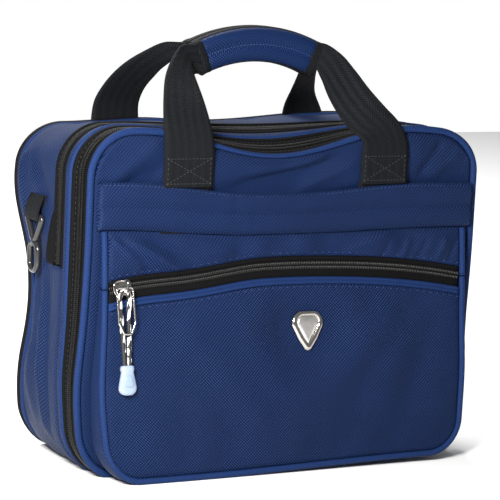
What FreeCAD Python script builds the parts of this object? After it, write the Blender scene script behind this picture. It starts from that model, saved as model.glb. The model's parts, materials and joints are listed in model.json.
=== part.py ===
"""Soft-sided flight bag: a navy briefcase with a main compartment, an expander and a front pocket.

Frame: +Z up, the front of the bag faces -Y, the origin is on the surface that the bag stands on,
midway across its width and midway between the rear panel and the front panel. Millimetres.
"""

import FreeCAD, Part
import math
import os

import Sketcher
from FreeCAD import Placement, Rotation, Vector

# Driving dimensions. The alias of each cell is the name that the expressions use.
DIMENSIONS = {
    # the case
    "body_width": 406.0,
    "body_height": 315.0,
    "corner_radius": 42.0,
    "rear_face": 72.0,  # distance of the rear face behind the origin
    "front_face": 72.0,  # distance of the front panel in front of the origin
    "fabric_wall": 3.0,
    "panel_wall": 4.0,
    "piping": 5.0,
    # the bands round the case, as distances in front of the origin
    "gusset_front": 13.0,
    "main_zip_line": 23.0,
    "strip_rear": 33.0,
    "strip_front": 40.0,
    "expander_rear": 45.0,
    "expander_line": 57.0,
    "expander_front": 67.0,
    "zip_end_height": 187.0,
    "zip_inset": 0.8,
    "zip_wall": 1.6,
    "coil_width": 1.8,
    "zip_play": 0.3,
    # inner parts
    "board_wall": 1.8,
    "sleeve_wall": 8.0,
    "sleeve_rear": 38.0,
    "sleeve_height": 250.0,
    "inner_margin": 30.0,
    # the front pocket
    "pocket_foot": 104.0,  # distance of the pocket's inner face in front of the origin, at its foot
    "pocket_tilt": 8.0,
    "pocket_width": 384.0,
    "pocket_rise": 221.0,
    "pocket_radius": 38.0,
    "pocket_wall": 3.0,
    "zip_arc_radius": 1000.0,
    "zip_arc_top": 191.5,
    "tape_upper": 8.5,
    "tape_lower": 11.0,
    "welt_width": 6.5,
    # header band and handle webbing
    "band_bottom": 219.5,
    "band_top": 262.0,
    "band_wall": 3.0,
    "webbing_width": 50.0,
    "webbing_wall": 2.8,
    "webbing_spread": 103.0,  # distance of each webbing leg from the middle
    "anchor_bottom": 222.0,
    "anchor_top": 290.0,
    # padded grip
    "grip_height": 31.0,
    "grip_depth": 15.0,
    "grip_arc_radius": 145.0,
    "grip_top_middle": 388.0,
    "grip_half_angle": 26.0,
    # strap rings on the sides
    "tab_width": 24.0,
    "ring_bar_radius": 2.0,
    "ring_height": 227.0,
    "ring_back": 22.0,
    "ring_stand_off": 4.4,
    # badge
    "badge_width": 35.0,
    "badge_height": 43.0,
    "badge_across": 19.0,
    "badge_up": 131.0,
    "badge_wall": 3.2,
    # zip pulls
    "slider_length": 18.0,
    "slider_width": 14.5,
    "slider_wall": 2.4,
    "link_wire": 1.0,
    "cord_radius": 2.1,
}

doc = FreeCAD.newDocument("flight_bag")
dims = doc.addObject("Spreadsheet::Sheet", "dims")
for row, (alias, size) in enumerate(DIMENSIONS.items(), start=1):
    dims.set(f"A{row}", alias)
    dims.set(f"B{row}", str(size))
    dims.setAlias(f"B{row}", alias)
doc.recompute()

subparts = []  # the objects that are written out, one STEP file each

# Shared places, worked out from the sheet.
BADGE_FLOOR = 1.6  # depth of metal left behind the badge's recess
HALF_WIDTH = dims.body_width / 2
TOP = dims.body_height


def keep(obj, label):
    """Marks obj as a finished sub-part with that name."""
    obj.Label = label
    subparts.append(obj)
    return obj


def value(expression):
    """The number that an expression of the sheet's cells has."""
    return float(dims.evalExpression(expression))


def bind(obj, prop, expression):
    """Binds a property to an expression; the names of cells are written as dims.NAME."""
    obj.setExpression(prop, expression)


def plain(expression):
    """The same expression as the sheet itself reads it."""
    return expression.replace("dims.", "")


def new_body(name):
    return doc.addObject("PartDesign::Body", name)


def sketch_on(body, role, name):
    """An empty sketch on one of the body's origin planes."""
    plane = next(f for f in body.Origin.OriginFeatures if f.Role == role)
    sketch = body.newObject("Sketcher::SketchObject", name)
    sketch.AttachmentSupport = (plane, "")
    sketch.MapMode = "FlatFace"
    return sketch


def dimension(sketch, kind, refs, name, expression):
    """A named dimensional constraint that follows an expression."""
    index = sketch.addConstraint(Sketcher.Constraint(kind, *refs, value(plain(expression))))
    sketch.renameConstraint(index, name)
    bind(sketch, f"Constraints.{name}", expression)


def rounded_outline(sketch, tag, half_width, bottom, top, radius):
    """A closed rounded rectangle, symmetric about the vertical axis; sizes are expressions."""
    a, z0, z1, r = (value(plain(e)) for e in (half_width, bottom, top, radius))
    first = sketch.GeometryCount
    lines = [
        (Vector(-a + r, z0, 0), Vector(a - r, z0, 0)),
        (Vector(a, z0 + r, 0), Vector(a, z1 - r, 0)),
        (Vector(a - r, z1, 0), Vector(-a + r, z1, 0)),
        (Vector(-a, z1 - r, 0), Vector(-a, z0 + r, 0)),
    ]
    corners = [(a - r, z0 + r, -90), (a - r, z1 - r, 0), (-a + r, z1 - r, 90), (-a + r, z0 + r, 180)]
    for (start, end), (cx, cz, turn) in zip(lines, corners):
        sketch.addGeometry(Part.LineSegment(start, end))
        circle = Part.Circle(Vector(cx, cz, 0), Vector(0, 0, 1), r)
        sketch.addGeometry(Part.ArcOfCircle(circle, math.radians(turn), math.radians(turn + 90)))
    for k in range(4):
        line, arc, following = first + 2 * k, first + 2 * k + 1, first + (2 * k + 2) % 8
        sketch.addConstraint(Sketcher.Constraint("Tangent", line, 2, arc, 1))
        sketch.addConstraint(Sketcher.Constraint("Tangent", arc, 2, following, 1))
        kind = "Horizontal" if k % 2 == 0 else "Vertical"
        sketch.addConstraint(Sketcher.Constraint(kind, line))
        if k:
            sketch.addConstraint(Sketcher.Constraint("Equal", first + 1, arc))
    dimension(sketch, "Radius", (first + 1,), f"{tag}_radius", radius)
    dimension(sketch, "DistanceX", (-1, 1, first + 2, 1), f"{tag}_right", half_width)
    dimension(sketch, "DistanceX", (first + 6, 1, -1, 1), f"{tag}_left", half_width)
    dimension(sketch, "DistanceY", (-1, 1, first, 1), f"{tag}_bottom", bottom)
    dimension(sketch, "DistanceY", (-1, 1, first + 4, 1), f"{tag}_top", top)


def box_outline(sketch, left, right, bottom, top):
    """A closed rectangle; sizes are expressions, measured from the origin."""
    x0, x1, z0, z1 = (value(plain(e)) for e in (left, right, bottom, top))
    points = [Vector(x0, z0, 0), Vector(x1, z0, 0), Vector(x1, z1, 0), Vector(x0, z1, 0)]
    for k in range(4):
        sketch.addGeometry(Part.LineSegment(points[k], points[(k + 1) % 4]))
    for k in range(4):
        sketch.addConstraint(Sketcher.Constraint("Coincident", k, 2, (k + 1) % 4, 1))
        sketch.addConstraint(Sketcher.Constraint("Horizontal" if k % 2 == 0 else "Vertical", k))
    for kind, vertex, name, expression in (
        ("DistanceX", 0, "left", left),
        ("DistanceY", 0, "bottom", bottom),
        ("DistanceX", 2, "right", right),
        ("DistanceY", 2, "top", top),
    ):
        dimension(sketch, kind, (-1, 1, vertex, 1), name, expression)


def pad(body, sketch, length):
    """Pads a sketch along its normal; on the XZ plane that is towards the front."""
    feature = body.newObject("PartDesign::Pad", f"{sketch.Name}_pad")
    feature.Profile = sketch
    feature.Length = value(plain(length))
    bind(feature, "Length", length)
    body.Tip = feature
    return feature


def start_at(sketch, forward):
    """Moves an XZ sketch forward from the origin by an expression."""
    bind(sketch, "AttachmentOffset.Base.z", forward)


def ring_body(name, rear, front, inset, wall):
    """A band round the case between two distances in front of the origin."""
    body = new_body(name)
    sketch = sketch_on(body, "XZ_Plane", f"{name}_outline")
    outer = f"{inset}"
    inner = f"({inset} + {wall})"
    for tag, off in (("outer", outer), ("inner", inner)):
        rounded_outline(
            sketch,
            tag,
            f"dims.body_width / 2 - {off}",
            f"{off}",
            f"dims.body_height - {off}",
            f"dims.corner_radius - {off}",
        )
    start_at(sketch, rear)
    pad(body, sketch, f"({front}) - ({rear})")
    return body


def plate_body(name, rear, front, inset, radius=None):
    """A rounded plate across the case between two distances in front of the origin."""
    body = new_body(name)
    sketch = sketch_on(body, "XZ_Plane", f"{name}_outline")
    rounded_outline(
        sketch,
        "plate",
        f"dims.body_width / 2 - {inset}",
        f"{inset}",
        f"dims.body_height - {inset}",
        radius or f"dims.corner_radius - {inset}",
    )
    start_at(sketch, rear)
    pad(body, sketch, f"({front}) - ({rear})")
    return body


def slab_body(name, left, right, bottom, top, rear, front):
    """A plain rectangular slab between two distances in front of the origin."""
    body = new_body(name)
    sketch = sketch_on(body, "XZ_Plane", f"{name}_outline")
    box_outline(sketch, left, right, bottom, top)
    start_at(sketch, rear)
    pad(body, sketch, f"({front}) - ({rear})")
    return body


def boolean(kind, name, base, tool):
    """A Part::Cut, Part::Common or Part::Fuse of two objects."""
    obj = doc.addObject(f"Part::{kind}", name)
    obj.Base, obj.Tool = base, tool
    return obj


def height_slice(name, bottom, top):
    """A box that covers the case between two heights; sizes are expressions."""
    box = doc.addObject("Part::Box", name)
    bind(box, "Length", "dims.body_width * 2")
    bind(box, "Width", "dims.body_width * 2")
    bind(box, "Height", f"({top}) - ({bottom})")
    bind(box, "Placement.Base.x", "-dims.body_width")
    bind(box, "Placement.Base.y", "-dims.body_width")
    bind(box, "Placement.Base.z", bottom)
    return box


def feature(name, shape, placement=None):
    """A Part::Feature for a shape that neither a sketch nor a primitive makes."""
    obj = doc.addObject("Part::Feature", name)
    obj.Shape = shape
    if placement:
        obj.Placement = placement
    return obj


# ---------------------------------------------------------------- main section


def zip_half(name, rear, front, coil_rear, coil_front):
    """One side of a zip round the case: woven tape with the coil along its edge."""
    tape = ring_body(f"{name}_tape", rear, front, "dims.zip_inset", "dims.zip_wall")
    coil = ring_body(f"{name}_coil", coil_rear, coil_front, "0 * dims.zip_inset", "dims.zip_inset")
    return boolean("Fuse", name, tape, coil)


def main_section():
    keep(
        ring_body("rear_piping_body", "-dims.rear_face", "-dims.rear_face + dims.piping", "0", "dims.piping"),
        "rear_piping",
    )
    keep(
        plate_body("rear_panel_body", "-dims.rear_face", "-dims.rear_face + dims.panel_wall", "dims.piping"),
        "rear_panel",
    )
    keep(
        ring_body(
            "main_gusset_body",
            "-dims.rear_face + dims.piping",
            "dims.gusset_front",
            "0",
            "dims.fabric_wall",
        ),
        "main_gusset",
    )
    board = plate_body(
        "rear_board_body",
        "-dims.rear_face + dims.panel_wall",
        "-dims.rear_face + dims.panel_wall + dims.board_wall",
        "dims.piping * 2",
    )
    keep(board, "rear_board")
    sleeve = slab_body(
        "laptop_sleeve_body",
        "-dims.body_width / 2 + dims.inner_margin",
        "dims.body_width / 2 - dims.inner_margin",
        "dims.fabric_wall + dims.board_wall",
        "dims.sleeve_height",
        "-dims.sleeve_rear",
        "-dims.sleeve_rear + dims.sleeve_wall",
    )
    keep(sleeve, "laptop_sleeve")
    bottom = slab_body(
        "bottom_board_body",
        "-dims.body_width / 2 + dims.corner_radius",
        "dims.body_width / 2 - dims.corner_radius",
        "dims.fabric_wall",
        "dims.fabric_wall + dims.board_wall",
        "-dims.rear_face + dims.panel_wall * 2 + dims.board_wall",
        "dims.gusset_front",
    )
    keep(bottom, "bottom_board")
    upper = height_slice("above_zip_end", "dims.zip_end_height", "dims.body_height + 10")
    half = zip_half(
        "main_zip_rear_ring",
        "dims.gusset_front",
        "dims.main_zip_line - dims.zip_play",
        "dims.main_zip_line - dims.zip_play - dims.coil_width",
        "dims.main_zip_line - dims.zip_play",
    )
    keep(boolean("Common", "main_zip_rear_cut", half, upper), "main_zip_rear")
    lower = height_slice("below_zip_end", "-10", "dims.zip_end_height")
    band = ring_body("lower_gusset_ring", "dims.gusset_front", "dims.strip_rear", "0", "dims.fabric_wall")
    keep(boolean("Common", "lower_gusset_cut", band, lower), "lower_gusset")


# ---------------------------------------------------------- middle strip


def middle_strip():
    upper = height_slice("above_zip_end_front", "dims.zip_end_height", "dims.body_height + 10")
    half = zip_half(
        "main_zip_front_ring",
        "dims.main_zip_line + dims.zip_play",
        "dims.strip_rear",
        "dims.main_zip_line + dims.zip_play",
        "dims.main_zip_line + dims.zip_play + dims.coil_width",
    )
    keep(boolean("Common", "main_zip_front_cut", half, upper), "main_zip_front")
    keep(
        ring_body("middle_strip_body", "dims.strip_rear", "dims.strip_front", "0", "dims.fabric_wall"),
        "middle_strip",
    )
    keep(
        ring_body("middle_piping_body", "dims.strip_front", "dims.expander_rear", "0", "dims.piping"),
        "middle_piping",
    )
    keep(
        zip_half(
            "expander_rear_ring",
            "dims.expander_rear",
            "dims.expander_line - dims.zip_play",
            "dims.expander_line - dims.zip_play - dims.coil_width",
            "dims.expander_line - dims.zip_play",
        ),
        "expander_zip_rear",
    )
    pleat = ring_body(
        "expansion_gusset_body",
        "dims.expander_line - 3",
        "dims.expander_line + 1",
        "(dims.zip_inset + dims.zip_wall)",
        "12",
    )
    keep(pleat, "expansion_gusset")


# ----------------------------------------------------------- front section


def front_section():
    keep(
        zip_half(
            "expander_front_ring",
            "dims.expander_line + dims.zip_play",
            "dims.expander_front",
            "dims.expander_line + dims.zip_play",
            "dims.expander_line + dims.zip_play + dims.coil_width",
        ),
        "expander_zip_front",
    )
    keep(
        ring_body("front_piping_body", "dims.expander_front", "dims.front_face", "0", "dims.piping"),
        "front_piping",
    )
    keep(
        plate_body("front_panel_body", "dims.front_face - dims.panel_wall", "dims.front_face", "dims.piping"),
        "front_panel",
    )
    board = plate_body(
        "front_board_body",
        "dims.front_face - dims.panel_wall - dims.board_wall",
        "dims.front_face - dims.panel_wall",
        "dims.piping * 4",
    )
    keep(board, "front_board")
    organizer = slab_body(
        "organizer_panel_body",
        "-dims.body_width / 2 + dims.inner_margin",
        "dims.body_width / 2 - dims.inner_margin",
        "dims.inner_margin",
        "dims.zip_end_height",
        "dims.front_face - dims.panel_wall - dims.board_wall - 2",
        "dims.front_face - dims.panel_wall - dims.board_wall",
    )
    keep(organizer, "organizer_panel")
    pen_loops()
    pocket()


def pen_loops():
    """Three pen loops in a row on the organizer panel: short half tubes that stand upright."""
    loops = []
    face = -(dims.front_face - dims.panel_wall - dims.board_wall - 2)
    for across in (-60.0, -40.0, -20.0):
        outer = doc.addObject("Part::Cylinder", "pen_loop_outer")
        outer.Radius, outer.Height = 7.0, 28.0
        inner = doc.addObject("Part::Cylinder", "pen_loop_inner")
        inner.Radius, inner.Height = 6.0, 28.0
        for cylinder in (outer, inner):
            cylinder.Placement.Base = Vector(across, face + 7.0, 120.0)
        loops.append(boolean("Cut", "pen_loop", outer, inner))
    group = doc.addObject("Part::Compound", "pen_loops_group")
    group.Links = loops
    keep(group, "pen_loops")


# ------------------------------------------------------------ front pocket


def pocket_placement():
    """Where the leaning plane of the pocket stands: its origin is at the pocket's foot."""
    return Placement(Vector(0, -dims.pocket_foot, 0), Rotation(Vector(1, 0, 0), -dims.pocket_tilt))


def lean(obj):
    """Stands an object that was made upright at the origin in the pocket's leaning plane."""
    obj.Placement = pocket_placement()
    bind(obj, "Placement.Base.y", "-dims.pocket_foot")
    return obj


def arc_disc(name, radius):
    """A disc about the centre of the zip's arc, thick enough to cut the pocket's plates."""
    disc = doc.addObject("Part::Cylinder", name)
    bind(disc, "Radius", radius)
    disc.Height = 40.0
    disc.Placement = Placement(Vector(0, 20, 0), Rotation(Vector(1, 0, 0), 90))
    bind(disc, "Placement.Base.z", "dims.zip_arc_top - dims.zip_arc_radius")
    return disc


def pocket_plate(name, inset, thickness, start="0"):
    """The pocket's whole front outline as a plate; the arcs of the zip divide it."""
    body = new_body(name)
    sketch = sketch_on(body, "XZ_Plane", f"{name}_outline")
    rounded_outline(
        sketch,
        "plate",
        f"dims.pocket_width / 2 - {inset}",
        f"{inset}",
        "dims.pocket_rise + dims.pocket_radius",
        f"dims.pocket_radius - {inset}",
    )
    start_at(sketch, start)
    pad(body, sketch, thickness)
    return body


def pocket_slice(name, inset, thickness, start="0"):
    """The same plate, cut off square at the pocket's top."""
    plate = pocket_plate(f"{name}_plate", inset, thickness, start)
    return boolean("Common", name, plate, height_slice(f"{name}_slice", "-10", "dims.pocket_rise"))


def band_of(name, plate, inner, outer):
    """The part of a plate between two radii about the zip's centre."""
    disc = boolean("Common", f"{name}_disc", plate, arc_disc(f"{name}_outer", outer))
    return boolean("Cut", name, disc, arc_disc(f"{name}_inner", inner))


def pocket():
    edge = "dims.piping"
    arc = "dims.zip_arc_radius"
    play = "dims.zip_play"
    front = boolean(
        "Common",
        "pocket_front_cut",
        pocket_slice("front_sheet", edge, "dims.pocket_wall"),
        arc_disc("front_limit", f"{arc} - dims.tape_lower - dims.welt_width"),
    )
    keep(lean(front), "pocket_front")
    header = boolean(
        "Cut",
        "pocket_header_cut",
        pocket_slice("header_sheet", edge, "dims.pocket_wall"),
        arc_disc("header_limit", f"{arc} + dims.tape_upper"),
    )
    keep(lean(header), "pocket_header")
    welt = band_of(
        "welt_band",
        pocket_slice("welt_sheet", edge, "dims.pocket_wall + 1"),
        f"{arc} - dims.tape_lower - dims.welt_width",
        f"{arc} - dims.tape_lower",
    )
    keep(lean(welt), "pocket_zip_welt")
    for side, tape_in, tape_out, coil_in, coil_out in (
        (
            "upper",
            f"{arc} + {play}",
            f"{arc} + dims.tape_upper",
            f"{arc} + {play}",
            f"{arc} + {play} + dims.coil_width",
        ),
        (
            "lower",
            f"{arc} - dims.tape_lower",
            f"{arc} - {play}",
            f"{arc} - {play} - dims.coil_width",
            f"{arc} - {play}",
        ),
    ):
        tape = band_of(
            f"{side}_tape", pocket_slice(f"{side}_tape_sheet", edge, "dims.zip_wall"), tape_in, tape_out
        )
        coil_sheet = pocket_slice(f"{side}_coil_sheet", edge, "dims.zip_inset", "dims.zip_wall")
        coil = band_of(f"{side}_coil", coil_sheet, coil_in, coil_out)
        keep(lean(boolean("Fuse", f"{side}_zip", tape, coil)), f"pocket_zip_{side}")
    edging = boolean(
        "Cut",
        "piping_ring",
        pocket_slice("piping_sheet", "0", "dims.pocket_wall + 1"),
        pocket_slice("piping_hole", edge, "dims.pocket_wall + 1"),
    )
    keep(
        lean(boolean("Common", "piping_below_zip", edging, arc_disc("piping_limit", f"{arc} - {play}"))),
        "pocket_piping",
    )
    keep(
        lean(boolean("Cut", "piping_above_zip", edging, arc_disc("piping_start", f"{arc} + {play}"))),
        "header_piping",
    )
    pocket_gusset()


def pocket_gusset():
    """The wedge-shaped side and bottom strip between the front panel and the pocket's front."""
    body = new_body("pocket_gusset_body")
    sketch = sketch_on(body, "XZ_Plane", "pocket_gusset_outline")
    for tag, off in (("outer", "1"), ("inner", "dims.fabric_wall")):
        rounded_outline(
            sketch,
            tag,
            f"dims.pocket_width / 2 - {off}",
            f"{off}",
            "dims.pocket_rise + dims.pocket_radius",
            f"dims.pocket_radius - {off}",
        )
    start_at(sketch, "dims.front_face")
    pad(body, sketch, "dims.pocket_foot - dims.front_face")
    cut = doc.addObject("Part::Box", "pocket_gusset_limit")
    cut.Length, cut.Width, cut.Height = 2 * dims.pocket_width, 200.0, 2 * dims.pocket_rise
    cut.Placement = pocket_placement().multiply(
        Placement(Vector(-dims.pocket_width, -200.0, -40.0), Rotation())
    )
    wedge = boolean("Cut", "pocket_gusset_wedge", body, cut)
    top = height_slice("pocket_gusset_slice", "-10", "dims.pocket_rise - 3")
    keep(boolean("Common", "pocket_gusset_cut", wedge, top), "pocket_gusset")


# ---------------------------------------------------------------- badge


def badge():
    """A plain metal badge in the outline of a rounded triangle: a bezel with a flat plate in it."""
    centre = Vector(dims.badge_across, -dims.pocket_wall, dims.badge_up)
    half, rise = dims.badge_width / 2, dims.badge_height / 2

    def outline(scale):
        top, side, foot = rise * scale, half * scale, rise * scale
        points = [
            Vector(0, 0, top),
            Vector(side * 0.72, 0, top * 0.86),
            Vector(side, 0, top * 0.40),
            Vector(side * 0.72, 0, -foot * 0.30),
            Vector(side * 0.20, 0, -foot * 0.93),
        ]
        left = [Vector(-p.x, 0, p.z) for p in reversed(points[1:])]
        curve = Part.BSplineCurve()
        curve.interpolate(Points=points + [Vector(0, 0, -foot)] + left, PeriodicFlag=True)
        return Part.Face(Part.Wire(curve.toShape()))

    bezel = outline(1.0).extrude(Vector(0, -dims.badge_wall, 0))
    bezel = bezel.makeChamfer(1.0, [e for e in bezel.Edges if e.BoundBox.YMax < -dims.badge_wall + 0.01])
    recess = outline(0.72).extrude(Vector(0, -dims.badge_wall, 0))
    recess = recess.transformed(Placement(Vector(0, -BADGE_FLOOR, 0), Rotation()).toMatrix())
    plate = outline(0.71).extrude(Vector(0, -1.8, 0))
    plate = plate.transformed(Placement(Vector(0, -BADGE_FLOOR, 0), Rotation()).toMatrix())
    place = pocket_placement().multiply(Placement(centre, Rotation()))
    for label, shape in (("badge_bezel", bezel.cut(recess)), ("badge_plate", plate)):
        keep(feature(f"{label}_solid", shape.removeSplitter(), place), label)


# ------------------------------------------------------- handles and webbing


def handle_side(side):
    """The fixed parts of one handle: side is 1 for the rear and -1 for the front."""
    word = "rear" if side > 0 else "front"
    face = "dims.rear_face" if side > 0 else "dims.front_face"
    sign = "-" if side > 0 else ""
    near, far = f"{sign}({face} + 0.2)", f"{sign}({face} + 0.2 + dims.webbing_wall)"
    patches = []
    for mirror in (-1, 1):
        middle = f"{mirror} * dims.webbing_spread"
        patches.append(
            slab_body(
                f"{word}_anchor_{'left' if mirror < 0 else 'right'}",
                f"{middle} - dims.webbing_width / 2",
                f"{middle} + dims.webbing_width / 2",
                "dims.anchor_bottom",
                "dims.anchor_top",
                far if side > 0 else near,
                near if side > 0 else far,
            )
        )
    group = doc.addObject("Part::Compound", f"{word}_anchors_group")
    group.Links = patches
    keep(group, f"{word}_handle_anchors")
    near, far = (
        f"{sign}({face} + 0.4 + dims.webbing_wall)",
        f"{sign}({face} + 0.4 + dims.webbing_wall + dims.band_wall)",
    )
    band = slab_body(
        f"{word}_band_body",
        "-dims.body_width / 2 + dims.piping",
        "dims.body_width / 2 - dims.piping",
        "dims.band_bottom",
        "dims.band_top",
        far if side > 0 else near,
        near if side > 0 else far,
    )
    keep(band, f"{word}_band")


def webbing_leg(side, mirror):
    """One free webbing leg, from its sewn foot to the end of the grip."""
    wall, half = dims.webbing_wall, dims.webbing_width / 2
    out = dims.front_face + 0.2 + wall + 0.3 + wall / 2  # middle of the webbing, from the origin
    foot, shoulder = dims.anchor_top + 2.6, TOP + 3.0
    x = mirror * dims.webbing_spread
    angle = math.radians(dims.grip_half_angle)
    end = Vector(
        mirror * dims.grip_arc_radius * math.sin(angle),
        side * dims.grip_depth * 0.45,
        dims.grip_top_middle - dims.grip_arc_radius + dims.grip_arc_radius * math.cos(angle),
    )
    across = Vector(math.cos(angle), 0, -mirror * math.sin(angle))  # along the grip, towards +X
    upward = Vector(mirror * math.sin(angle), 0, math.cos(angle))

    def rectangle(middle, u, v, half_u, half_v):
        return [middle + u * (a * half_u) + v * (b * half_v) for a, b in ((-1, -1), (1, -1), (1, 1), (-1, 1))]

    def span(start, end, steps=6):
        """A run of webbing between two rectangles, with flat facets so that its twist is exact."""
        rings = [[a + (b - a) * (k / steps) for a, b in zip(start, end)] for k in range(steps + 1)]
        outlines = [tuple(rings[0][::-1]), tuple(rings[-1])]
        for lower, higher in zip(rings, rings[1:]):
            for i, j in ((0, 1), (1, 2), (2, 3), (3, 0)):
                outlines.append((lower[i], lower[j], higher[j]))
                outlines.append((lower[i], higher[j], higher[i]))
        faces = [Part.Face(Part.makePolygon([*corners, corners[0]])) for corners in outlines]
        shell = Part.makeShell(faces)
        shell.sewShape()
        solid = Part.makeSolid(shell)
        return solid if solid.Volume > 0 else solid.reversed()

    straight = Part.makeBox(2 * half, wall, shoulder - foot, Vector(x - half, side * out - wall / 2, foot))
    round_foot = Part.makeCylinder(wall / 2, 2 * half, Vector(x - half, side * out, foot), Vector(1, 0, 0))
    low = rectangle(Vector(x, side * out, shoulder), Vector(1, 0, 0), Vector(0, 1, 0), half, wall / 2)
    neck = end + across * (mirror * 14.0) - upward * 8.0 + Vector(0, side * 3.0, 0)
    middle = rectangle(neck, (across + upward * (mirror * 1.2)).normalize(), Vector(0, 1, 0), 13.0, wall)
    high = rectangle(end, upward * mirror, Vector(0, 1, 0), 12.0, wall)
    upper = span(low, middle).fuse(span(middle, high))
    return straight.fuse([round_foot, upper]).removeSplitter()


def handle(side):
    word = "rear" if side > 0 else "front"
    legs = Part.makeCompound([webbing_leg(side, mirror) for mirror in (-1, 1)])
    keep(feature(f"{word}_webbing", legs), f"{word}_handle_webbing")
    body = new_body(f"{word}_grip_body")
    sketch = sketch_on(body, "YZ_Plane", f"{word}_grip_profile")
    near, depth, height = 0.25, dims.grip_depth, dims.grip_height
    middle, corner = dims.grip_top_middle, dims.grip_depth * 0.8
    ys = [side * near, side * (depth - corner), side * depth]
    zs = [
        middle - height / 2,
        middle - height / 2 + corner,
        middle + height / 2 - corner,
        middle + height / 2,
    ]
    bow = corner * (1 - math.sqrt(0.5))
    pieces = [
        Part.LineSegment(Vector(ys[0], zs[3], 0), Vector(ys[0], zs[0], 0)),
        Part.LineSegment(Vector(ys[0], zs[0], 0), Vector(ys[1], zs[0], 0)),
        Part.Arc(
            Vector(ys[1], zs[0], 0), Vector(ys[2] - side * bow, zs[0] + bow, 0), Vector(ys[2], zs[1], 0)
        ),
        Part.LineSegment(Vector(ys[2], zs[1], 0), Vector(ys[2], zs[2], 0)),
        Part.Arc(
            Vector(ys[2], zs[2], 0), Vector(ys[2] - side * bow, zs[3] - bow, 0), Vector(ys[1], zs[3], 0)
        ),
        Part.LineSegment(Vector(ys[1], zs[3], 0), Vector(ys[0], zs[3], 0)),
    ]
    for piece in pieces:
        sketch.addGeometry(piece)
    centre = middle - dims.grip_arc_radius
    sketch.addGeometry(Part.LineSegment(Vector(0, centre, 0), Vector(10, centre, 0)), True)
    turn = body.newObject("PartDesign::Revolution", f"{word}_grip_turn")
    turn.Profile = sketch
    turn.ReferenceAxis = (sketch, ["Axis0"])
    turn.Midplane = True
    bind(turn, "Angle", "2 * dims.grip_half_angle")
    body.Tip = turn
    keep(body, f"{word}_grip")


# --------------------------------------------- loops of wire, rings and pulls


def rounded_path(points, radius, closed=False):
    """A wire of straight runs joined by tangent arcs, with an arc of that radius at each corner."""
    count = len(points)
    corners = range(count) if closed else range(1, count - 1)
    cuts = {}
    for k in corners:
        here, before, after = points[k], points[k - 1], points[(k + 1) % count]
        back, ahead = (before - here).normalize(), (after - here).normalize()
        half_turn = (math.pi - back.getAngle(ahead)) / 2
        size = radius(k) if callable(radius) else radius
        reach = size * math.tan(half_turn)
        bisector = (back + ahead).normalize()
        tip = here + bisector * (size / math.cos(half_turn) - size)
        cuts[k] = (here + back * reach, tip, here + ahead * reach)
    edges = []
    order = list(range(count)) + ([0] if closed else [])
    for k, following in zip(order, order[1:]):
        start = cuts[k][2] if k in cuts else points[k]
        end = cuts[following][0] if following in cuts else points[following]
        if start.distanceToPoint(end) > 1e-4:
            edges.append(Part.LineSegment(start, end).toShape())
        if following in cuts and (closed or following != order[-1]):
            edges.append(Part.Arc(*cuts[following]).toShape())
    return Part.Wire(Part.__sortEdges__(edges))


def tube(path, radius):
    """A round tube along a path."""
    edge = path.Edges[0]
    start = edge.valueAt(edge.FirstParameter)
    direction = edge.tangentAt(edge.FirstParameter)
    profile = Part.Wire(Part.makeCircle(radius, start, direction))
    return path.makePipeShell([profile], True, True)


def strap_ring(mirror):
    """A strap ring: a three-sided loop held in the webbing tab, and an oval eye for a strap hook below it."""
    x = mirror * (HALF_WIDTH + dims.ring_stand_off)
    y, top = dims.ring_back, dims.ring_height
    wire = dims.ring_bar_radius
    upper = [
        Vector(x, y - 17.5, top),
        Vector(x, y + 17.5, top),
        Vector(x, y + 4.0, top - 21),
        Vector(x, y - 4.0, top - 21),
    ]
    lower = [
        Vector(x, y - 8.5, top - 25),
        Vector(x, y + 8.5, top - 25),
        Vector(x, y + 8.5, top - 50),
        Vector(x, y - 8.5, top - 50),
    ]
    loop = tube(rounded_path(upper, 2.6, closed=True), wire)
    eye = tube(rounded_path(lower, 7.4, closed=True), wire)
    neck = Part.makeCylinder(wire * 1.3, 8.0, Vector(x, y, top - 19.5), Vector(0, 0, -1))
    return loop.fuse([eye, neck]).removeSplitter()


def webbing_tab(mirror):
    """The webbing loop that is sewn to the gusset and holds the strap ring's bar."""
    start = mirror * HALF_WIDTH
    bar = Vector(
        mirror * (HALF_WIDTH + dims.ring_stand_off), dims.ring_back - dims.tab_width / 2, dims.ring_height
    )
    along = Vector(0, 1, 0)
    outer = dims.ring_stand_off - 0.1
    strap = Part.makeBox(
        outer,
        dims.tab_width,
        30.0,
        Vector(min(start + mirror * 0.1, start + mirror * (0.1 + outer)), bar.y, bar.z),
    )
    roll = Part.makeCylinder(outer - 0.1, dims.tab_width, bar, along)
    hole = Part.makeCylinder(dims.ring_bar_radius + 0.3, dims.tab_width, bar, along)
    tab = strap.fuse(roll).cut(hole)
    return tab.removeSplitter()


def side_rings():
    for mirror, word in ((-1, "left"), (1, "right")):
        keep(feature(f"strap_ring_{word}_solid", strap_ring(mirror)), f"strap_ring_{word}")
        keep(feature(f"ring_tab_{word}_solid", webbing_tab(mirror)), f"ring_tab_{word}")


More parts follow.
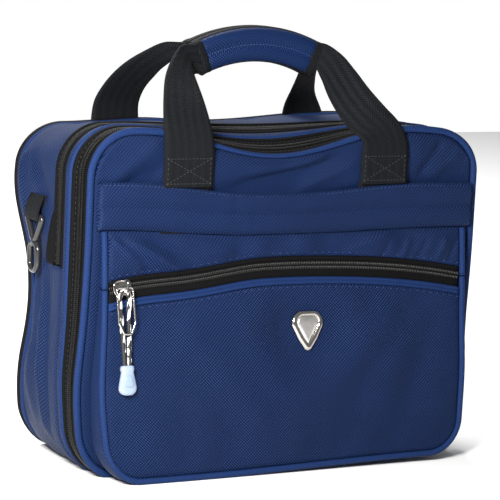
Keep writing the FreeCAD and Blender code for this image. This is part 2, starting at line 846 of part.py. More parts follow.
# A pull hangs in its own frame: X across, Z up, -Y out of the bag; the origin is the swing axis.
CROWN_REACH = 3.6  # how far the swing axis stands off the slider's plate
CROWN_OUT = 6.6  # how far the crown arches over the axis, so that the cord can swing round under it
LINK_DROP = 41.0
LINK_HALF = 8.0
CORD_ROUTE = [
    (-2.5, -1.6, -70.0),
    (-2.7, -1.2, -58.0),
    (-3.3, -0.4, -45.0),
    (-3.4, 0.4, -31.0),
    (-4.6, 0.8, -18.0),
    (-5.0, 0.6, -9.0),
    (-3.2, 0.2, -4.0),
    (0.0, 0.0, -2.8),
    (3.2, 0.2, -4.0),
    (5.0, 0.6, -9.0),
    (4.5, 0.9, -18.0),
    (3.3, 0.5, -31.0),
    (3.4, -0.3, -45.0),
    (2.8, -1.2, -58.0),
    (2.5, -1.6, -70.0),
]
TIP_RISE = 26.0


def slider(upright, tilt):
    """A zip slider: a rounded plate, tilted along its zip, and the crown that holds the pull."""
    length, width, wall = dims.slider_length, dims.slider_width, dims.slider_wall
    if upright:
        length, width = width, length
    base = CROWN_REACH + 0.4  # the plate's outer face is this far behind the swing axis
    plate = Part.makeBox(length, wall, width, Vector(-length / 2, base, -width / 2))
    short = min(length, width)
    plate = plate.makeFillet(
        short * 0.38, [e for e in plate.Edges if abs(e.tangentAt(e.FirstParameter).y) > 0.9]
    )
    rim = [e for e in plate.Edges if e.BoundBox.YMax < base + 0.01]
    plate = plate.makeFillet(0.8, rim)
    plate.rotate(Vector(), Vector(0, 1, 0), tilt)
    reach = 6.6
    crown_path = rounded_path(
        [
            Vector(0, base + 1.0, -reach),
            Vector(0, -CROWN_OUT, -reach + 0.6),
            Vector(0, -CROWN_OUT, reach - 0.6),
            Vector(0, base + 1.0, reach),
        ],
        2.4,
    )
    crown = tube(crown_path, 1.1)
    return plate.fuse(crown).removeSplitter()


def pull_link():
    """The wire link of a pull: a long loop whose top passes under the slider's crown."""
    lean_out = 3.9
    points = [
        Vector(-LINK_HALF, 0, 0),
        Vector(LINK_HALF, 0, 0),
        Vector(LINK_HALF, -lean_out, -LINK_DROP + 10),
        Vector(LINK_HALF * 0.45, -lean_out * 1.2, -LINK_DROP),
        Vector(-LINK_HALF * 0.45, -lean_out * 1.2, -LINK_DROP),
        Vector(-LINK_HALF, -lean_out, -LINK_DROP + 10),
    ]
    return tube(rounded_path(points, 2.2, closed=True), dims.link_wire)


def cord_radius_at(route):
    """The arc at each corner of a cord: as large as its two runs allow."""

    def at(k):
        before, after = route[k].distanceToPoint(route[k - 1]), route[k].distanceToPoint(route[k + 1])
        turn = (route[k] - route[k - 1]).getAngle(route[k + 1] - route[k])
        return 0.45 * min(before, after) / math.tan(turn / 2)

    return at


def pull_cord():
    """The doubled cord of a pull: up from the tip, round through the crown and back down."""
    route = [Vector(x, y, z) for x, y, z in CORD_ROUTE]
    radii = [round(cord_radius_at(route)(k), 1) for k in range(1, len(route) - 1)]
    path = rounded_path(route, cord_radius_at(route))
    solid = tube(path, dims.cord_radius)
    expected = math.pi * dims.cord_radius**2 * path.Length
    print(f"cord: length {path.Length:.1f}, radii {radii}, volume {solid.Volume:.0f} of {expected:.0f}")
    return solid


def pull_tip():
    """The soft moulded tip that both ends of the cord are set in."""
    top, rise = CORD_ROUTE[0][2], TIP_RISE
    points = [
        (-6.6, 0),
        (6.6, 0),
        (9.0, -rise + 8),
        (9.0, -rise + 6),
        (5.0, -rise),
        (-5.0, -rise),
        (-9.0, -rise + 6),
        (-9.0, -rise + 8),
    ]
    outline = rounded_path([Vector(x, 2.6, top + z) for x, z in points], 1.0, closed=True)
    solid = Part.Face(outline).extrude(Vector(0, -8.0, 0))
    return solid.makeFillet(1.6, [e for e in solid.Edges if e.BoundBox.YLength < 0.01])


def pull(name, axis_point, turn, upright, tilt=0.0):
    """A slider with its pull. turn stands the pull's frame on the bag; axis_point is its origin there."""
    body = feature(f"{name}_slider_solid", slider(upright, tilt), Placement(axis_point, turn))
    keep(body, f"{name}_slider")
    shapes = (("link", pull_link()), ("cord", pull_cord()), ("tip", pull_tip()))
    for word, shape in shapes:
        keep(feature(f"{name}_{word}_solid", shape, Placement(axis_point, turn)), f"{name}_pull_{word}")
    print(f"{name}: swing axis at {tuple(round(v, 3) for v in axis_point)}")


def pulls():
    side = Rotation(Vector(0, 0, 1), 90)  # the pull's outward direction becomes +X
    stand_off = CROWN_REACH + 0.4 + dims.slider_wall + 0.3
    for name, forward, height in (
        ("main_zip", dims.main_zip_line, 200.0),
        ("expander_zip", dims.expander_line, 130.0),
    ):
        pull(name, Vector(HALF_WIDTH + stand_off, -forward, height), side, True)
    # The pocket's slider stands on the zip's arc and its pull lies down the slope of the pocket.
    arc = dims.zip_arc_radius
    across = -168.0
    up = dims.zip_arc_top - arc + math.sqrt(arc**2 - across**2)
    out = dims.zip_wall + dims.zip_inset + stand_off
    place = pocket_placement().multVec(Vector(across, -out, up))
    lean_turn = pocket_placement().Rotation
    pull("pocket_zip", place, lean_turn, False, math.degrees(math.asin(across / arc)))


main_section()
middle_strip()
front_section()
badge()
for end in (-1, 1):
    handle_side(end)
    handle(end)
side_rings()
pulls()
doc.recompute()

for obj in doc.Objects:
    if {"Invalid", "Error"} & set(obj.State):
        raise SystemExit(f"{obj.Name} failed: {obj.State}")
os.makedirs("parts", exist_ok=True)
for obj in subparts:
    shape = obj.Shape
    if shape.isNull() or not shape.isValid() or not shape.Solids:
        raise SystemExit(f"{obj.Label} has no valid solid")
    shape.exportStep(f"parts/{obj.Label}.step")
print(len(subparts), "sub-parts written")
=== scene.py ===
"""Looks of a soft-sided navy flight bag: twill panels, coil zips, webbing handles and a padded grip.

Every piece is built in the CAD's frame: metres, +Z up, the front of the bag faces -Y. The case's cloth is
first placed on an ideal rounded box and then passes through one function, soften(), so that panels, zips and
pipings sag together and stay joined.
"""

import json
import math

import bmesh
import bpy
import numpy as np
from mathutils import Matrix, Vector, noise

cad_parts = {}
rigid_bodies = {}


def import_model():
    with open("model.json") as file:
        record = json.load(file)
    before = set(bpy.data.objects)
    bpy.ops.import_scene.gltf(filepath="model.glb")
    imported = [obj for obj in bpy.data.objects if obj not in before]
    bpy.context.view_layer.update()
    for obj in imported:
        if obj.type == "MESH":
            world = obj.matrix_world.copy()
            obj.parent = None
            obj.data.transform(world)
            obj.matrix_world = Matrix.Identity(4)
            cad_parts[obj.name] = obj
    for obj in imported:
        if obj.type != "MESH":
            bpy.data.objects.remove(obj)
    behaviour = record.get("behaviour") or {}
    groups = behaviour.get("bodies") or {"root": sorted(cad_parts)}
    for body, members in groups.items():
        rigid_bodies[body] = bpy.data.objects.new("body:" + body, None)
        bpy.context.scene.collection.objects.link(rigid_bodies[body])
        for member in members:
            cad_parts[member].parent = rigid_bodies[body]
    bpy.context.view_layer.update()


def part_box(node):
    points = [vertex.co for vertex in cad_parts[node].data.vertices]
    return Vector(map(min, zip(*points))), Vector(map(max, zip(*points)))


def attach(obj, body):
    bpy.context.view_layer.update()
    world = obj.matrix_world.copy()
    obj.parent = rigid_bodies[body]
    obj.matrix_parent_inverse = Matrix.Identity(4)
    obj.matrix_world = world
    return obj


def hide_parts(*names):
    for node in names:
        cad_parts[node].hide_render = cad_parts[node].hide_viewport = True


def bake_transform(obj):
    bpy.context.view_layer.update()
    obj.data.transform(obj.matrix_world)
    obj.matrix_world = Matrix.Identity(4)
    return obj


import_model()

# ------------------------------------------------------------------ sizes read from the frame
_low, _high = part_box("rear_piping")
HALF, HEIGHT, REAR = _high[0], _high[2], _high[1]
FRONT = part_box("front_panel")[0][1]  # y of the front panel's outer face
RADIUS = 0.042
PERIMETER = 4 * HALF + 2 * HEIGHT - 8 * RADIUS + 2 * math.pi * RADIUS
SIDE_START = HALF - RADIUS + math.pi * RADIUS / 2  # where the left side wall starts along the rim
ZIP_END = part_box("lower_gusset")[1][2]

TILT = math.radians(8.0)
FOOT_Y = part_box("pocket_gusset")[0][1]  # inner face of the pocket's front, at its foot
POCKET_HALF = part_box("pocket_piping")[1][0]
POCKET_RADIUS = 0.038
POCKET_RISE = 0.221
ARC_TOP = 0.1915
ARC_RADIUS = 1.0
TAPE_UP, TAPE_DOWN, WELT = 0.0085, 0.011, 0.0065
BADGE = (0.019, 0.131)  # across and up the pocket's slope

MAIN_ZIP_Y, EXPANDER_ZIP_Y = -0.023, -0.057
MAIN_TAPE = (-0.0125, -0.0335)  # outer edges of the main zip's tapes, in depth
EXPANDER_TAPE = (-0.0445, -0.0690)
COIL_PITCH = 0.0018
STITCH = (0.0012, 0.00035, 0.00035)  # half length, half height and half width
STITCH_PITCH = 0.0033
BAND_LOW, BAND_HIGH = 0.2195, 0.262
STRAP_SPREAD, STRAP_WIDTH = 0.103, 0.050
STRAP_Y = 0.0772  # depth of a strap where it is sewn down
GRIP_ARC, GRIP_MIDDLE, GRIP_HEIGHT = 0.145, 0.388, 0.031
GRIP_HALF_ANGLE = math.radians(26.0)
FLOOR_GAP = 0.0004
SIDES = (("left", -1), ("right", 1))


def smooth(t):
    """Smoothstep of a number or array, clamped to 0..1."""
    t = np.clip(t, 0.0, 1.0)
    return t * t * (3 - 2 * t)


def hump(t):
    """A bell that is 1 at t = 0 and 0 from |t| = 1."""
    return np.cos(np.clip(t, -1, 1) * math.pi / 2) ** 2


# How the sag of the top fades from front to back: distance in front of y = 0, and share of the full sag there
SAG_DEPTH = [-0.072, -0.040, -0.010, 0.013, 0.023, 0.033, 0.045, 0.057, 0.070, 0.110]
SAG_SHARE = [0.30, 0.22, 0.10, 0.10, 0.20, 0.34, 0.50, 0.74, 0.98, 1.00]


def soften(p):
    """Moves points of the ideal box to where the soft, half-filled bag has them."""
    p = np.array(p, float)
    x, y, z = p[..., 0], p[..., 1], p[..., 2]
    rise = np.clip((z - 0.200) / (HEIGHT - 0.200), 0, 1.2) ** 2.2
    forward = np.interp(-y, SAG_DEPTH, SAG_SHARE)
    dz = -0.025 * rise * hump((x + 0.015) / 0.140) * forward
    dz = dz - 0.004 * rise * hump((x - 0.190) / 0.06)
    side = np.clip(np.abs(x) / HALF, 0, 1) ** 3
    low = smooth((0.10 - z) / 0.10)
    waist = hump((z - 0.150) / 0.120)
    behind = smooth((y + 0.01) / 0.07)
    drawn_in = 0.005 * low + 0.009 * waist * behind - 0.002 * hump((z - 0.08) / 0.07) * (1 - behind)
    dx = -np.sign(x) * side * drawn_in
    dx = dx + smooth((-x - 0.10) / 0.08) * behind * (0.006 * low - 0.004 * hump((z - 0.25) / 0.07))
    right_wall = smooth((x - 0.12) / 0.08) * smooth((y + 0.0700) / 0.0080)
    skew = 0.0060 * smooth((-0.035 - y) / 0.035) * (0.15 + 0.85 * smooth((z - 0.04) / 0.18))
    dx = dx + skew * (1 - 0.80 * right_wall)
    dz = dz - 0.008 * smooth((-x - 0.06) / 0.10) * smooth((y + 0.015) / 0.06) * rise
    dz = dz + 0.0055 * smooth((x + 0.12) / 0.28) * smooth((0.06 - z) / 0.06) * smooth((-y - 0.02) / 0.05)
    dy = -0.012 * behind * waist * (0.35 + 0.65 * side)
    return np.stack([x + dx, y + dy, z + dz], -1)


# ------------------------------------------------------------------ surfaces
def rim(s):
    """Points and outward normals of the case's outline at lengths s, from the bottom's middle to the left."""
    s = np.asarray(s, float) % PERIMETER
    flat, wall, turn = 2 * (HALF - RADIUS), HEIGHT - 2 * RADIUS, math.pi * RADIUS / 2
    x, z, nx, nz = (np.zeros_like(s) for _ in range(4))
    start = 0.0
    cx, cz = HALF - RADIUS, RADIUS
    runs = [
        ("line", flat / 2, (0, 0), (-1, 0), (0, -1)),
        ("arc", turn, (-cx, cz), 270, None),
        ("line", wall, (-HALF, RADIUS), (0, 1), (-1, 0)),
        ("arc", turn, (-cx, HEIGHT - RADIUS), 180, None),
        ("line", flat, (-cx, HEIGHT), (1, 0), (0, 1)),
        ("arc", turn, (cx, HEIGHT - RADIUS), 90, None),
        ("line", wall, (HALF, HEIGHT - RADIUS), (0, -1), (1, 0)),
        ("arc", turn, (cx, cz), 0, None),
        ("line", flat / 2, (cx, 0), (-1, 0), (0, -1)),
    ]
    for kind, length, origin, way, normal in runs:
        here = (s >= start) & (s <= start + length)
        t = s[here] - start
        if kind == "line":
            x[here], z[here] = origin[0] + way[0] * t, origin[1] + way[1] * t
            nx[here], nz[here] = normal
        else:
            angle = np.radians(way) - t / RADIUS
            nx[here], nz[here] = np.cos(angle), np.sin(angle)
            x[here], z[here] = origin[0] + RADIUS * nx[here], origin[1] + RADIUS * nz[here]
        start += length
    return x, z, nx, nz


def case(s, y, h):
    """The case's side surface: s along the rim, y in depth, h outward."""
    x, z, nx, nz = rim(s)
    y = np.broadcast_to(y, np.shape(x))
    return soften(np.stack([x + nx * h, y, z + nz * h], -1))


def face(x, z, h):
    """The front panel's plane, h outward."""
    x, z, h = np.broadcast_arrays(np.asarray(x, float), z, h)
    return soften(np.stack([x, FRONT - h, z], -1))


def back(x, z, h):
    """The rear panel's plane, h outward."""
    x, z, h = np.broadcast_arrays(np.asarray(x, float), z, h)
    return soften(np.stack([x, REAR + h, z], -1))


def pocket(x, v, h):
    """The pocket's leaning plane: x across, v up the slope, h outward from its inner face."""
    x, v, h = np.broadcast_arrays(np.asarray(x, float), v, h)
    y = FOOT_Y - h * math.cos(TILT) + v * math.sin(TILT)
    z = h * math.sin(TILT) + v * math.cos(TILT)
    return soften(np.stack([x, y, z], -1))


def arc_height(x, offset=0.0):
    """Height of the zip's arc up the pocket's slope, moved out by an offset; the soft zip dips to the left."""
    sag = -0.0035 * hump((np.asarray(x) + 0.100) / 0.075) + 0.0018 * smooth((np.asarray(x) - 0.02) / 0.15)
    return ARC_TOP - ARC_RADIUS + np.sqrt((ARC_RADIUS + offset) ** 2 - np.asarray(x) ** 2) + sag


# ------------------------------------------------------------------ mesh helpers
def dress(obj, material):
    """Smooth shading and one material."""
    for polygon in obj.data.polygons:
        polygon.use_smooth = True
    obj.data.materials.clear()
    obj.data.materials.append(material)


def finish_piece(obj, body, slot, material, replaces=()):
    """Looks, body and replaced nodes of a piece that moves with one body; its slot is not used. It stays above
    the floor.
    """
    dress(obj, material)
    for vertex in obj.data.vertices:
        vertex.co.z = max(vertex.co.z, FLOOR_GAP)
    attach(obj, body)
    if replaces:
        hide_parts(*replaces)
    return obj


def finish_blend(obj, start, end, material, replaces):
    """Smooth shading, one material and replaced nodes of a piece that is baked into the world frame and moves
    with no body; start and end, between which it would give from one body to the next, are not used.
    """
    dress(obj, material)
    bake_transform(obj)
    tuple(start)
    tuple(end)
    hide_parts(*replaces)


def tube(name, points, uvs):
    """A closed mesh from lists of points and texture coordinates, one entry for each line along it."""
    return grid_mesh(name, np.stack(points, 1), np.stack(uvs, 1), closed_columns=True)


def ringed(name, rings):
    """A closed mesh through rings of points, without texture coordinates of its own."""
    points = np.array(rings)
    return grid_mesh(name, points, np.zeros((*points.shape[:2], 2)), closed_columns=True)


def run_length(x, v):
    """Distance along a flat path, at each of its points."""
    return np.concatenate([[0], np.cumsum(np.hypot(np.diff(x), np.diff(v)))])


def line_length(points):
    """The same for an array of points."""
    return np.concatenate([[0], np.cumsum(np.linalg.norm(np.diff(points, axis=0), axis=1))])


def raw_mesh(name, points, faces, uvs=None):
    """An object from points, faces and texture coordinates, one for each point."""
    mesh = bpy.data.meshes.new(name)
    mesh.from_pydata([tuple(p) for p in points], [], faces)
    if uvs is not None:
        layer = mesh.uv_layers.new(name="UVMap")
        corner = np.array([v for polygon in mesh.polygons for v in polygon.vertices])
        layer.data.foreach_set("uv", np.asarray(uvs, np.float32)[corner].ravel())
    mesh.update()
    obj = bpy.data.objects.new(name, mesh)
    bpy.context.collection.objects.link(obj)
    return obj


def grid_mesh(name, points, uvs, closed_rows=False, closed_columns=False):
    """A quad mesh of an array of points; caps close it where the columns are closed but the rows aren't."""
    rows, columns = points.shape[:2]
    faces = []
    row_count = rows if closed_rows else rows - 1
    column_count = columns if closed_columns else columns - 1
    for i in range(row_count):
        a, b = i * columns, ((i + 1) % rows) * columns
        for j in range(column_count):
            k = (j + 1) % columns
            faces.append((a + j, a + k, b + k, b + j))
    if closed_columns and not closed_rows:
        faces.append(tuple(range(columns))[::-1])
        faces.append(tuple((rows - 1) * columns + j for j in range(columns)))
    obj = raw_mesh(name, points.reshape(-1, 3), faces, uvs.reshape(-1, 2))
    recalculate(obj)
    return obj


def recalculate(obj):
    """Turns the faces' normals outward."""
    build = bmesh.new()
    build.from_mesh(obj.data)
    bmesh.ops.recalc_face_normals(build, faces=build.faces)
    build.to_mesh(obj.data)
    build.free()


def sweep_band(name, loop, s0, s1, step=0.004, relief=None):
    """A solid band round the case from a closed outline of (y, h); relief(s, y) raises its outer side."""
    whole = s1 - s0 >= PERIMETER - 1e-6
    count = max(int((s1 - s0) / step), 8)
    s = np.linspace(s0, s1, count, endpoint=not whole)
    loop = np.array(loop)
    ds = np.linalg.norm(np.diff(loop, axis=0, append=loop[:1]), axis=1)
    v = np.concatenate([[0], np.cumsum(ds)[:-1]])
    points = np.zeros((len(s), len(loop), 3))
    uvs = np.zeros((len(s), len(loop), 2))
    for j, (y, h) in enumerate(loop):
        lift = relief(s, y) if relief and h > -0.0005 else 0.0
        points[:, j] = case(s, y, h + lift)
        uvs[:, j] = np.stack([s, np.full_like(s, v[j])], -1)
    return grid_mesh(name, points, uvs, closed_rows=whole, closed_columns=True)


def strip_loop(y0, y1, puff=0.0008, wall=0.0022, count=12, roll=0.0008):
    """A closed outline of a fabric strip between two depths, slightly puffed on its outer side."""
    t = np.linspace(0, 1, count)
    outer = [(y0 + (y1 - y0) * k, puff * (1 - (2 * k - 1) ** 4) - roll * (abs(2 * k - 1) ** 12)) for k in t]
    inner = [(y0 + (y1 - y0) * k, -wall) for k in (1, 0.5, 0)]
    return outer + inner


def round_loop(y, h, ry, rh=None, count=14):
    """A closed round outline about (y, h)."""
    angles = np.linspace(0, 2 * math.pi, count, endpoint=False)
    return [(y + ry * math.cos(a), h + (rh or ry) * math.sin(a)) for a in angles]


def slab(name, surface, half_or_range, low, high, wall, height, columns, rows, margin=0.004):
    """A padded sheet on a surface. low and high give its edges at x, height(x, v, fx, fv) its relief."""
    x0, x1 = half_or_range if hasattr(half_or_range, "__len__") else (-half_or_range, half_or_range)
    fx = np.linspace(0, 1, columns)
    fv = np.linspace(0, 1, rows)
    x = x0 + (x1 - x0) * fx[None, :] + 0 * fv[:, None]
    lo, hi = low(x[0]), high(x[0])
    v = lo[None, :] + (hi - lo)[None, :] * fv[:, None]
    gx, gv = np.meshgrid(fx, fv)
    edge_x = np.minimum(x - x0, x1 - x) / margin
    edge_v = np.minimum(v - lo[None, :], hi[None, :] - v) / margin
    edge = smooth(np.minimum(edge_x, edge_v))
    outer = surface(x, v, height(x, v, gx, gv) * edge - 0.0012 * (1 - edge) + wall)
    inner = surface(x, v, np.zeros_like(x))
    offset = rows * columns
    faces = []
    for i in range(rows - 1):
        for j in range(columns - 1):
            a = i * columns + j
            quad = (a, a + 1, a + columns + 1, a + columns)
            faces += [quad, tuple(offset + k for k in reversed(quad))]
    index = np.arange(offset).reshape(rows, columns)
    border = [int(k) for k in (*index[0], *index[1:, -1], *index[-1, -2::-1], *index[-2:0:-1, 0])]
    for a, b in zip(border, border[1:] + border[:1]):
        faces.append((a, offset + a, offset + b, b))
    uv = np.stack([x, v], -1).reshape(-1, 2)
    points = np.concatenate([outer.reshape(-1, 3), inner.reshape(-1, 3)])
    obj = raw_mesh(name, points, faces, np.concatenate([uv, uv]))
    recalculate(obj)
    return obj


def trace(surface, a, b, h, across=(0.0, 1.0)):
    """Frames along a line on a surface: centre, direction, outward normal and sideways direction."""
    a, b = (np.asarray(k, float) for k in np.broadcast_arrays(a, b))
    centre = surface(a, b, h)
    along = np.gradient(centre, axis=0)
    along /= np.linalg.norm(along, axis=1, keepdims=True)
    out = surface(a, b, h + 0.001) - centre
    out -= along * np.sum(out * along, 1, keepdims=True)
    out /= np.linalg.norm(out, axis=1, keepdims=True)
    return centre, along, out, np.cross(along, out)


def beads(name, frames, size, sides=6):
    """One small rounded bead per frame. size is half its length, height and width."""
    centre, along, out, wide = frames
    sa, so, sw = size
    rings = [(-1.0, 0.0), (-0.8, 0.75), (0.0, 1.0), (0.8, 0.75), (1.0, 0.0)]
    lengthwise = sa >= sw
    axis, axis_size, other, other_size = (along, sa, wide, sw) if lengthwise else (wide, sw, along, sa)
    points = []
    for position, scale in rings[1:-1]:
        for k in range(sides):
            angle = 2 * math.pi * k / sides
            points.append(
                centre
                + axis * (axis_size * position)
                + out * (so * scale * math.sin(angle))
                + other * (other_size * scale * math.cos(angle))
            )
    points.append(centre - axis * axis_size)
    points.append(centre + axis * axis_size)
    stack = np.stack(points, 1)
    per = stack.shape[1]
    base = []
    for r in range(2):
        for k in range(sides):
            n = (k + 1) % sides
            base.append((r * sides + k, r * sides + n, (r + 1) * sides + n, (r + 1) * sides + k))
    base += [(3 * sides, (k + 1) % sides, k) for k in range(sides)]
    base += [(3 * sides + 1, 2 * sides + k, 2 * sides + (k + 1) % sides) for k in range(sides)]
    faces = [tuple(per * i + v for v in f) for i in range(len(centre)) for f in base]
    obj = raw_mesh(name, stack.reshape(-1, 3), faces)
    recalculate(obj)
    return obj


def seam(name, surface, points, h, body, material, slot="navy_fabric"):
    """A row of stitches along a polyline of (a, b) points on a surface."""
    parts = []
    for (a0, b0), (a1, b1) in zip(points, points[1:]):
        count = max(int(math.hypot(a1 - a0, b1 - b0) / STITCH_PITCH), 2)
        parts.append(trace(surface, np.linspace(a0, a1, count), np.linspace(b0, b1, count), h))
    frames = [np.concatenate([part[k] for part in parts]) for k in range(4)]
    return finish_piece(beads(name, frames, STITCH, sides=5), body, slot, material)


# ------------------------------------------------------------------ wrinkles from a cloth simulation
CLOTH_STEPS = 24


def wrinkles(name, width, height, columns, rows, swell, pressure, limit, seed):
    """Heights of a cloth that is slightly too large for its frame: simulated flat, held at its four edges."""
    xs, ys = np.linspace(0, width, columns), np.linspace(0, height, rows)
    points, uvs = np.zeros((rows, columns, 3)), np.zeros((rows, columns, 2))
    points[..., 0], points[..., 1] = np.meshgrid(xs, ys)
    for i in range(rows):
        for j in range(columns):
            at = Vector((xs[j] * 22 + seed * 7.3, ys[i] * 22, seed))
            points[i, j, 2] = 0.0015 * noise.noise(at)
    start = points[..., 2].copy()
    obj = grid_mesh(f"{name}_cloth", points, uvs)
    group = obj.vertex_groups.new(name="pin")
    index = np.arange(rows * columns).reshape(rows, columns)
    edge = [int(k) for k in (*index[0], *index[1:-1, [0, -1]].ravel(), *index[-1])]
    group.add(edge, 1.0, "REPLACE")
    cloth = obj.modifiers.new("cloth", "CLOTH")
    settings = dict(
        quality=6, mass=0.15, tension_stiffness=30, compression_stiffness=30, shear_stiffness=15,
        bending_stiffness=1.2, vertex_group_mass="pin", shrink_min=-swell, shrink_max=-swell,
        use_pressure=True, uniform_pressure_force=pressure,
    )
    for key, value in settings.items():
        setattr(cloth.settings, key, value)
    cloth.settings.effector_weights.gravity = 0.0
    cloth.collision_settings.use_collision = False
    cloth.point_cache.frame_start, cloth.point_cache.frame_end = 1, CLOTH_STEPS
    scene = bpy.context.scene
    for step in range(1, CLOTH_STEPS + 1):
        scene.frame_set(step)
    evaluated = obj.evaluated_get(bpy.context.evaluated_depsgraph_get())
    moved = np.array([v.co for v in evaluated.data.vertices]).reshape(rows, columns, 3)
    scene.frame_set(1)
    mesh = obj.data
    bpy.data.objects.remove(obj)
    bpy.data.meshes.remove(mesh)
    relief = moved[..., 2] - start
    for _ in range(2):
        padded = np.pad(relief, 1, mode="edge")
        relief = sum(padded[i : i + rows, j : j + columns] for i in range(3) for j in range(3)) / 9
    relief = relief * np.sign(relief.mean() or 1.0)
    return limit * np.tanh(relief / limit)


def sampled(field, fx, fv):
    """Bilinear samples of a field at fractions fx, fv."""
    rows, columns = field.shape
    x, y = np.clip(fx, 0, 1) * (columns - 1), np.clip(fv, 0, 1) * (rows - 1)
    i, j = np.minimum(y.astype(int), rows - 2), np.minimum(x.astype(int), columns - 2)
    ty, tx = y - i, x - j
    low = field[i, j] * (1 - tx) + field[i, j + 1] * tx
    high = field[i + 1, j] * (1 - tx) + field[i + 1, j + 1] * tx
    return low * (1 - ty) + high * ty


def fold(x, v, start, end, width, height):
    """A soft ridge (or a dent, if height is negative) along the line from start to end."""
    (x0, v0), (x1, v1) = start, end
    length = math.hypot(x1 - x0, v1 - v0)
    ux, uv = (x1 - x0) / length, (v1 - v0) / length
    t = ((x - x0) * ux + (v - v0) * uv) / length
    d = (x - x0) * -uv + (v - v0) * ux
    fade = smooth(t * 4 + 0.25) * smooth((1 - t) * 4 + 0.25)
    return height * np.exp(-((d / width) ** 2)) * fade


def with_folds(h, x, v, rows, share=1.0):
    """A relief h with folds added to it, each given as start, end, width and height."""
    for row in rows:
        h = h + share * fold(x, v, *row)
    return h


def grain(x, v, scale, seed):
    """Smooth noise over arrays, about -1 to 1."""
    flat = [noise.noise(Vector((a * scale, b * scale, seed))) for a, b in zip(np.ravel(x), np.ravel(v))]
    return np.array(flat).reshape(np.shape(x))


# ------------------------------------------------------------------ materials
def new_material(name, **values):
    """A principled material whose named sockets have fixed values."""
    material = bpy.data.materials.new(name)
    material.use_nodes = True
    shader = material.node_tree.nodes["Principled BSDF"]
    for socket, value in values.items():
        shader.inputs[socket.replace("_", " ")].default_value = value
    return material, material.node_tree, shader


def add(tree, kind, inputs=(), **props):
    """A node with its properties set and its inputs linked or given a value, by index or name."""
    item = tree.nodes.new(kind)
    for key, value in props.items():
        setattr(item, key, value)
    for key, value in dict(inputs).items():
        if isinstance(value, bpy.types.NodeSocket):
            tree.links.new(value, item.inputs[key])
        else:
            item.inputs[key].default_value = value
    return item


def calc(tree, operation, a, b=0.0, c=0.0):
    return add(tree, "ShaderNodeMath", {0: a, 1: b, 2: c}, operation=operation).outputs[0]


def waves(tree, coordinate, pitch, shift=0.0):
    """A sine of a coordinate in metres, from 0 to 1, with that pitch."""
    phase = calc(tree, "MULTIPLY_ADD", coordinate, 2 * math.pi / pitch, shift)
    return calc(tree, "MULTIPLY_ADD", calc(tree, "SINE", phase), 0.5, 0.5)


def uv_axes(tree):
    coordinates = add(tree, "ShaderNodeTexCoord").outputs["UV"]
    parts = add(tree, "ShaderNodeSeparateXYZ", {0: coordinates})
    return coordinates, parts.outputs[0], parts.outputs[1]


def cloud(tree, scale, detail, source=None):
    vector = source or add(tree, "ShaderNodeTexCoord").outputs["Object"]
    return add(
        tree, "ShaderNodeTexNoise", {"Vector": vector, "Scale": scale, "Detail": detail, "Roughness": 0.55}
    ).outputs[0]


def blend_colour(tree, factor, a, b):
    item = add(tree, "ShaderNodeMix", {0: factor}, data_type="RGBA")
    for index, value in ((6, a), (7, b)):
        if isinstance(value, bpy.types.NodeSocket):
            tree.links.new(value, item.inputs[index])
        else:
            item.inputs[index].default_value = (*value, 1.0)
    return item.outputs[2]


def bump(tree, shader, height, strength, distance):
    item = add(tree, "ShaderNodeBump", {"Strength": strength, "Distance": distance, "Height": height})
    tree.links.new(item.outputs[0], shader.inputs["Normal"])


def ranged(tree, value, low, high):
    return add(tree, "ShaderNodeMapRange", {0: value, 3: low, 4: high}).outputs[0]


def twill(name, dark, light, pitch=0.0019, strength=0.9, sheen=0.04):
    """Woven nylon: diagonal ribs crossed by finer ones, uneven threads and broad patches of wear."""
    material, tree, shader = new_material(
        name, Roughness=0.52, Specular_IOR_Level=0.11, Sheen_Weight=sheen, Sheen_Roughness=0.4
    )
    shader.inputs["Sheen Tint"].default_value = (0.30, 0.42, 0.85, 1)
    coordinates, u, v = uv_axes(tree)
    wobble = calc(tree, "MULTIPLY", cloud(tree, 180.0, 2.0, coordinates), pitch * 0.5)
    down = waves(tree, calc(tree, "ADD", calc(tree, "ADD", u, v), wobble), pitch * 1.414)
    up = waves(tree, calc(tree, "SUBTRACT", u, v), pitch * 1.9)
    crossed = calc(tree, "MULTIPLY", calc(tree, "MULTIPLY", up, down), 1.25)
    weave = calc(tree, "MULTIPLY_ADD", down, 0.30, crossed)
    thread = cloud(tree, 900.0, 1.0, coordinates)
    # The weave's height also sets the colour: raised threads are painted lighter and hollows darker, a painted
    # highlight and shade, mixed with uneven threads whose tone varies at random.
    level = calc(tree, "MULTIPLY_ADD", thread, 0.5, calc(tree, "MULTIPLY", weave, 0.80))
    lit = calc(tree, "POWER", level, 2.1)
    body = blend_colour(tree, lit, dark, light)
    patch = ranged(tree, cloud(tree, 14.0, 4.0), 0.0, 1.0)
    worn = blend_colour(tree, calc(tree, "MULTIPLY", patch, 0.35), body, [k * 0.55 for k in dark])
    tree.links.new(worn, shader.inputs["Base Color"])
    tree.links.new(ranged(tree, thread, 0.42, 0.62), shader.inputs["Roughness"])
    bump(tree, shader, weave, strength, 0.0005)
    return material


def ribbed(name, dark, light, pitch=0.0017, rough=0.55, along=0, strength=0.6):
    """Binding or tape with fine ribs across (along=0) or along (along=1) its length."""
    material, tree, shader = new_material(name, Roughness=rough, Specular_IOR_Level=0.05)
    _, u, v = uv_axes(tree)
    ribs = waves(tree, (u, v)[along], pitch)
    cross = waves(tree, (v, u)[along], pitch * 0.55)
    height = calc(tree, "MULTIPLY_ADD", ribs, 0.75, calc(tree, "MULTIPLY", cross, 0.25))
    fleck = cloud(tree, 700.0, 2.0)
    # The ribs' height also sets the colour: crests are painted lighter and hollows darker, a painted highlight
    # and shade, mixed with random flecks of tone.
    shade = calc(tree, "MULTIPLY_ADD", fleck, 0.5, calc(tree, "MULTIPLY", height, 0.6))
    tree.links.new(blend_colour(tree, shade, dark, light), shader.inputs["Base Color"])
    bump(tree, shader, height, strength, 0.0004)
    return material


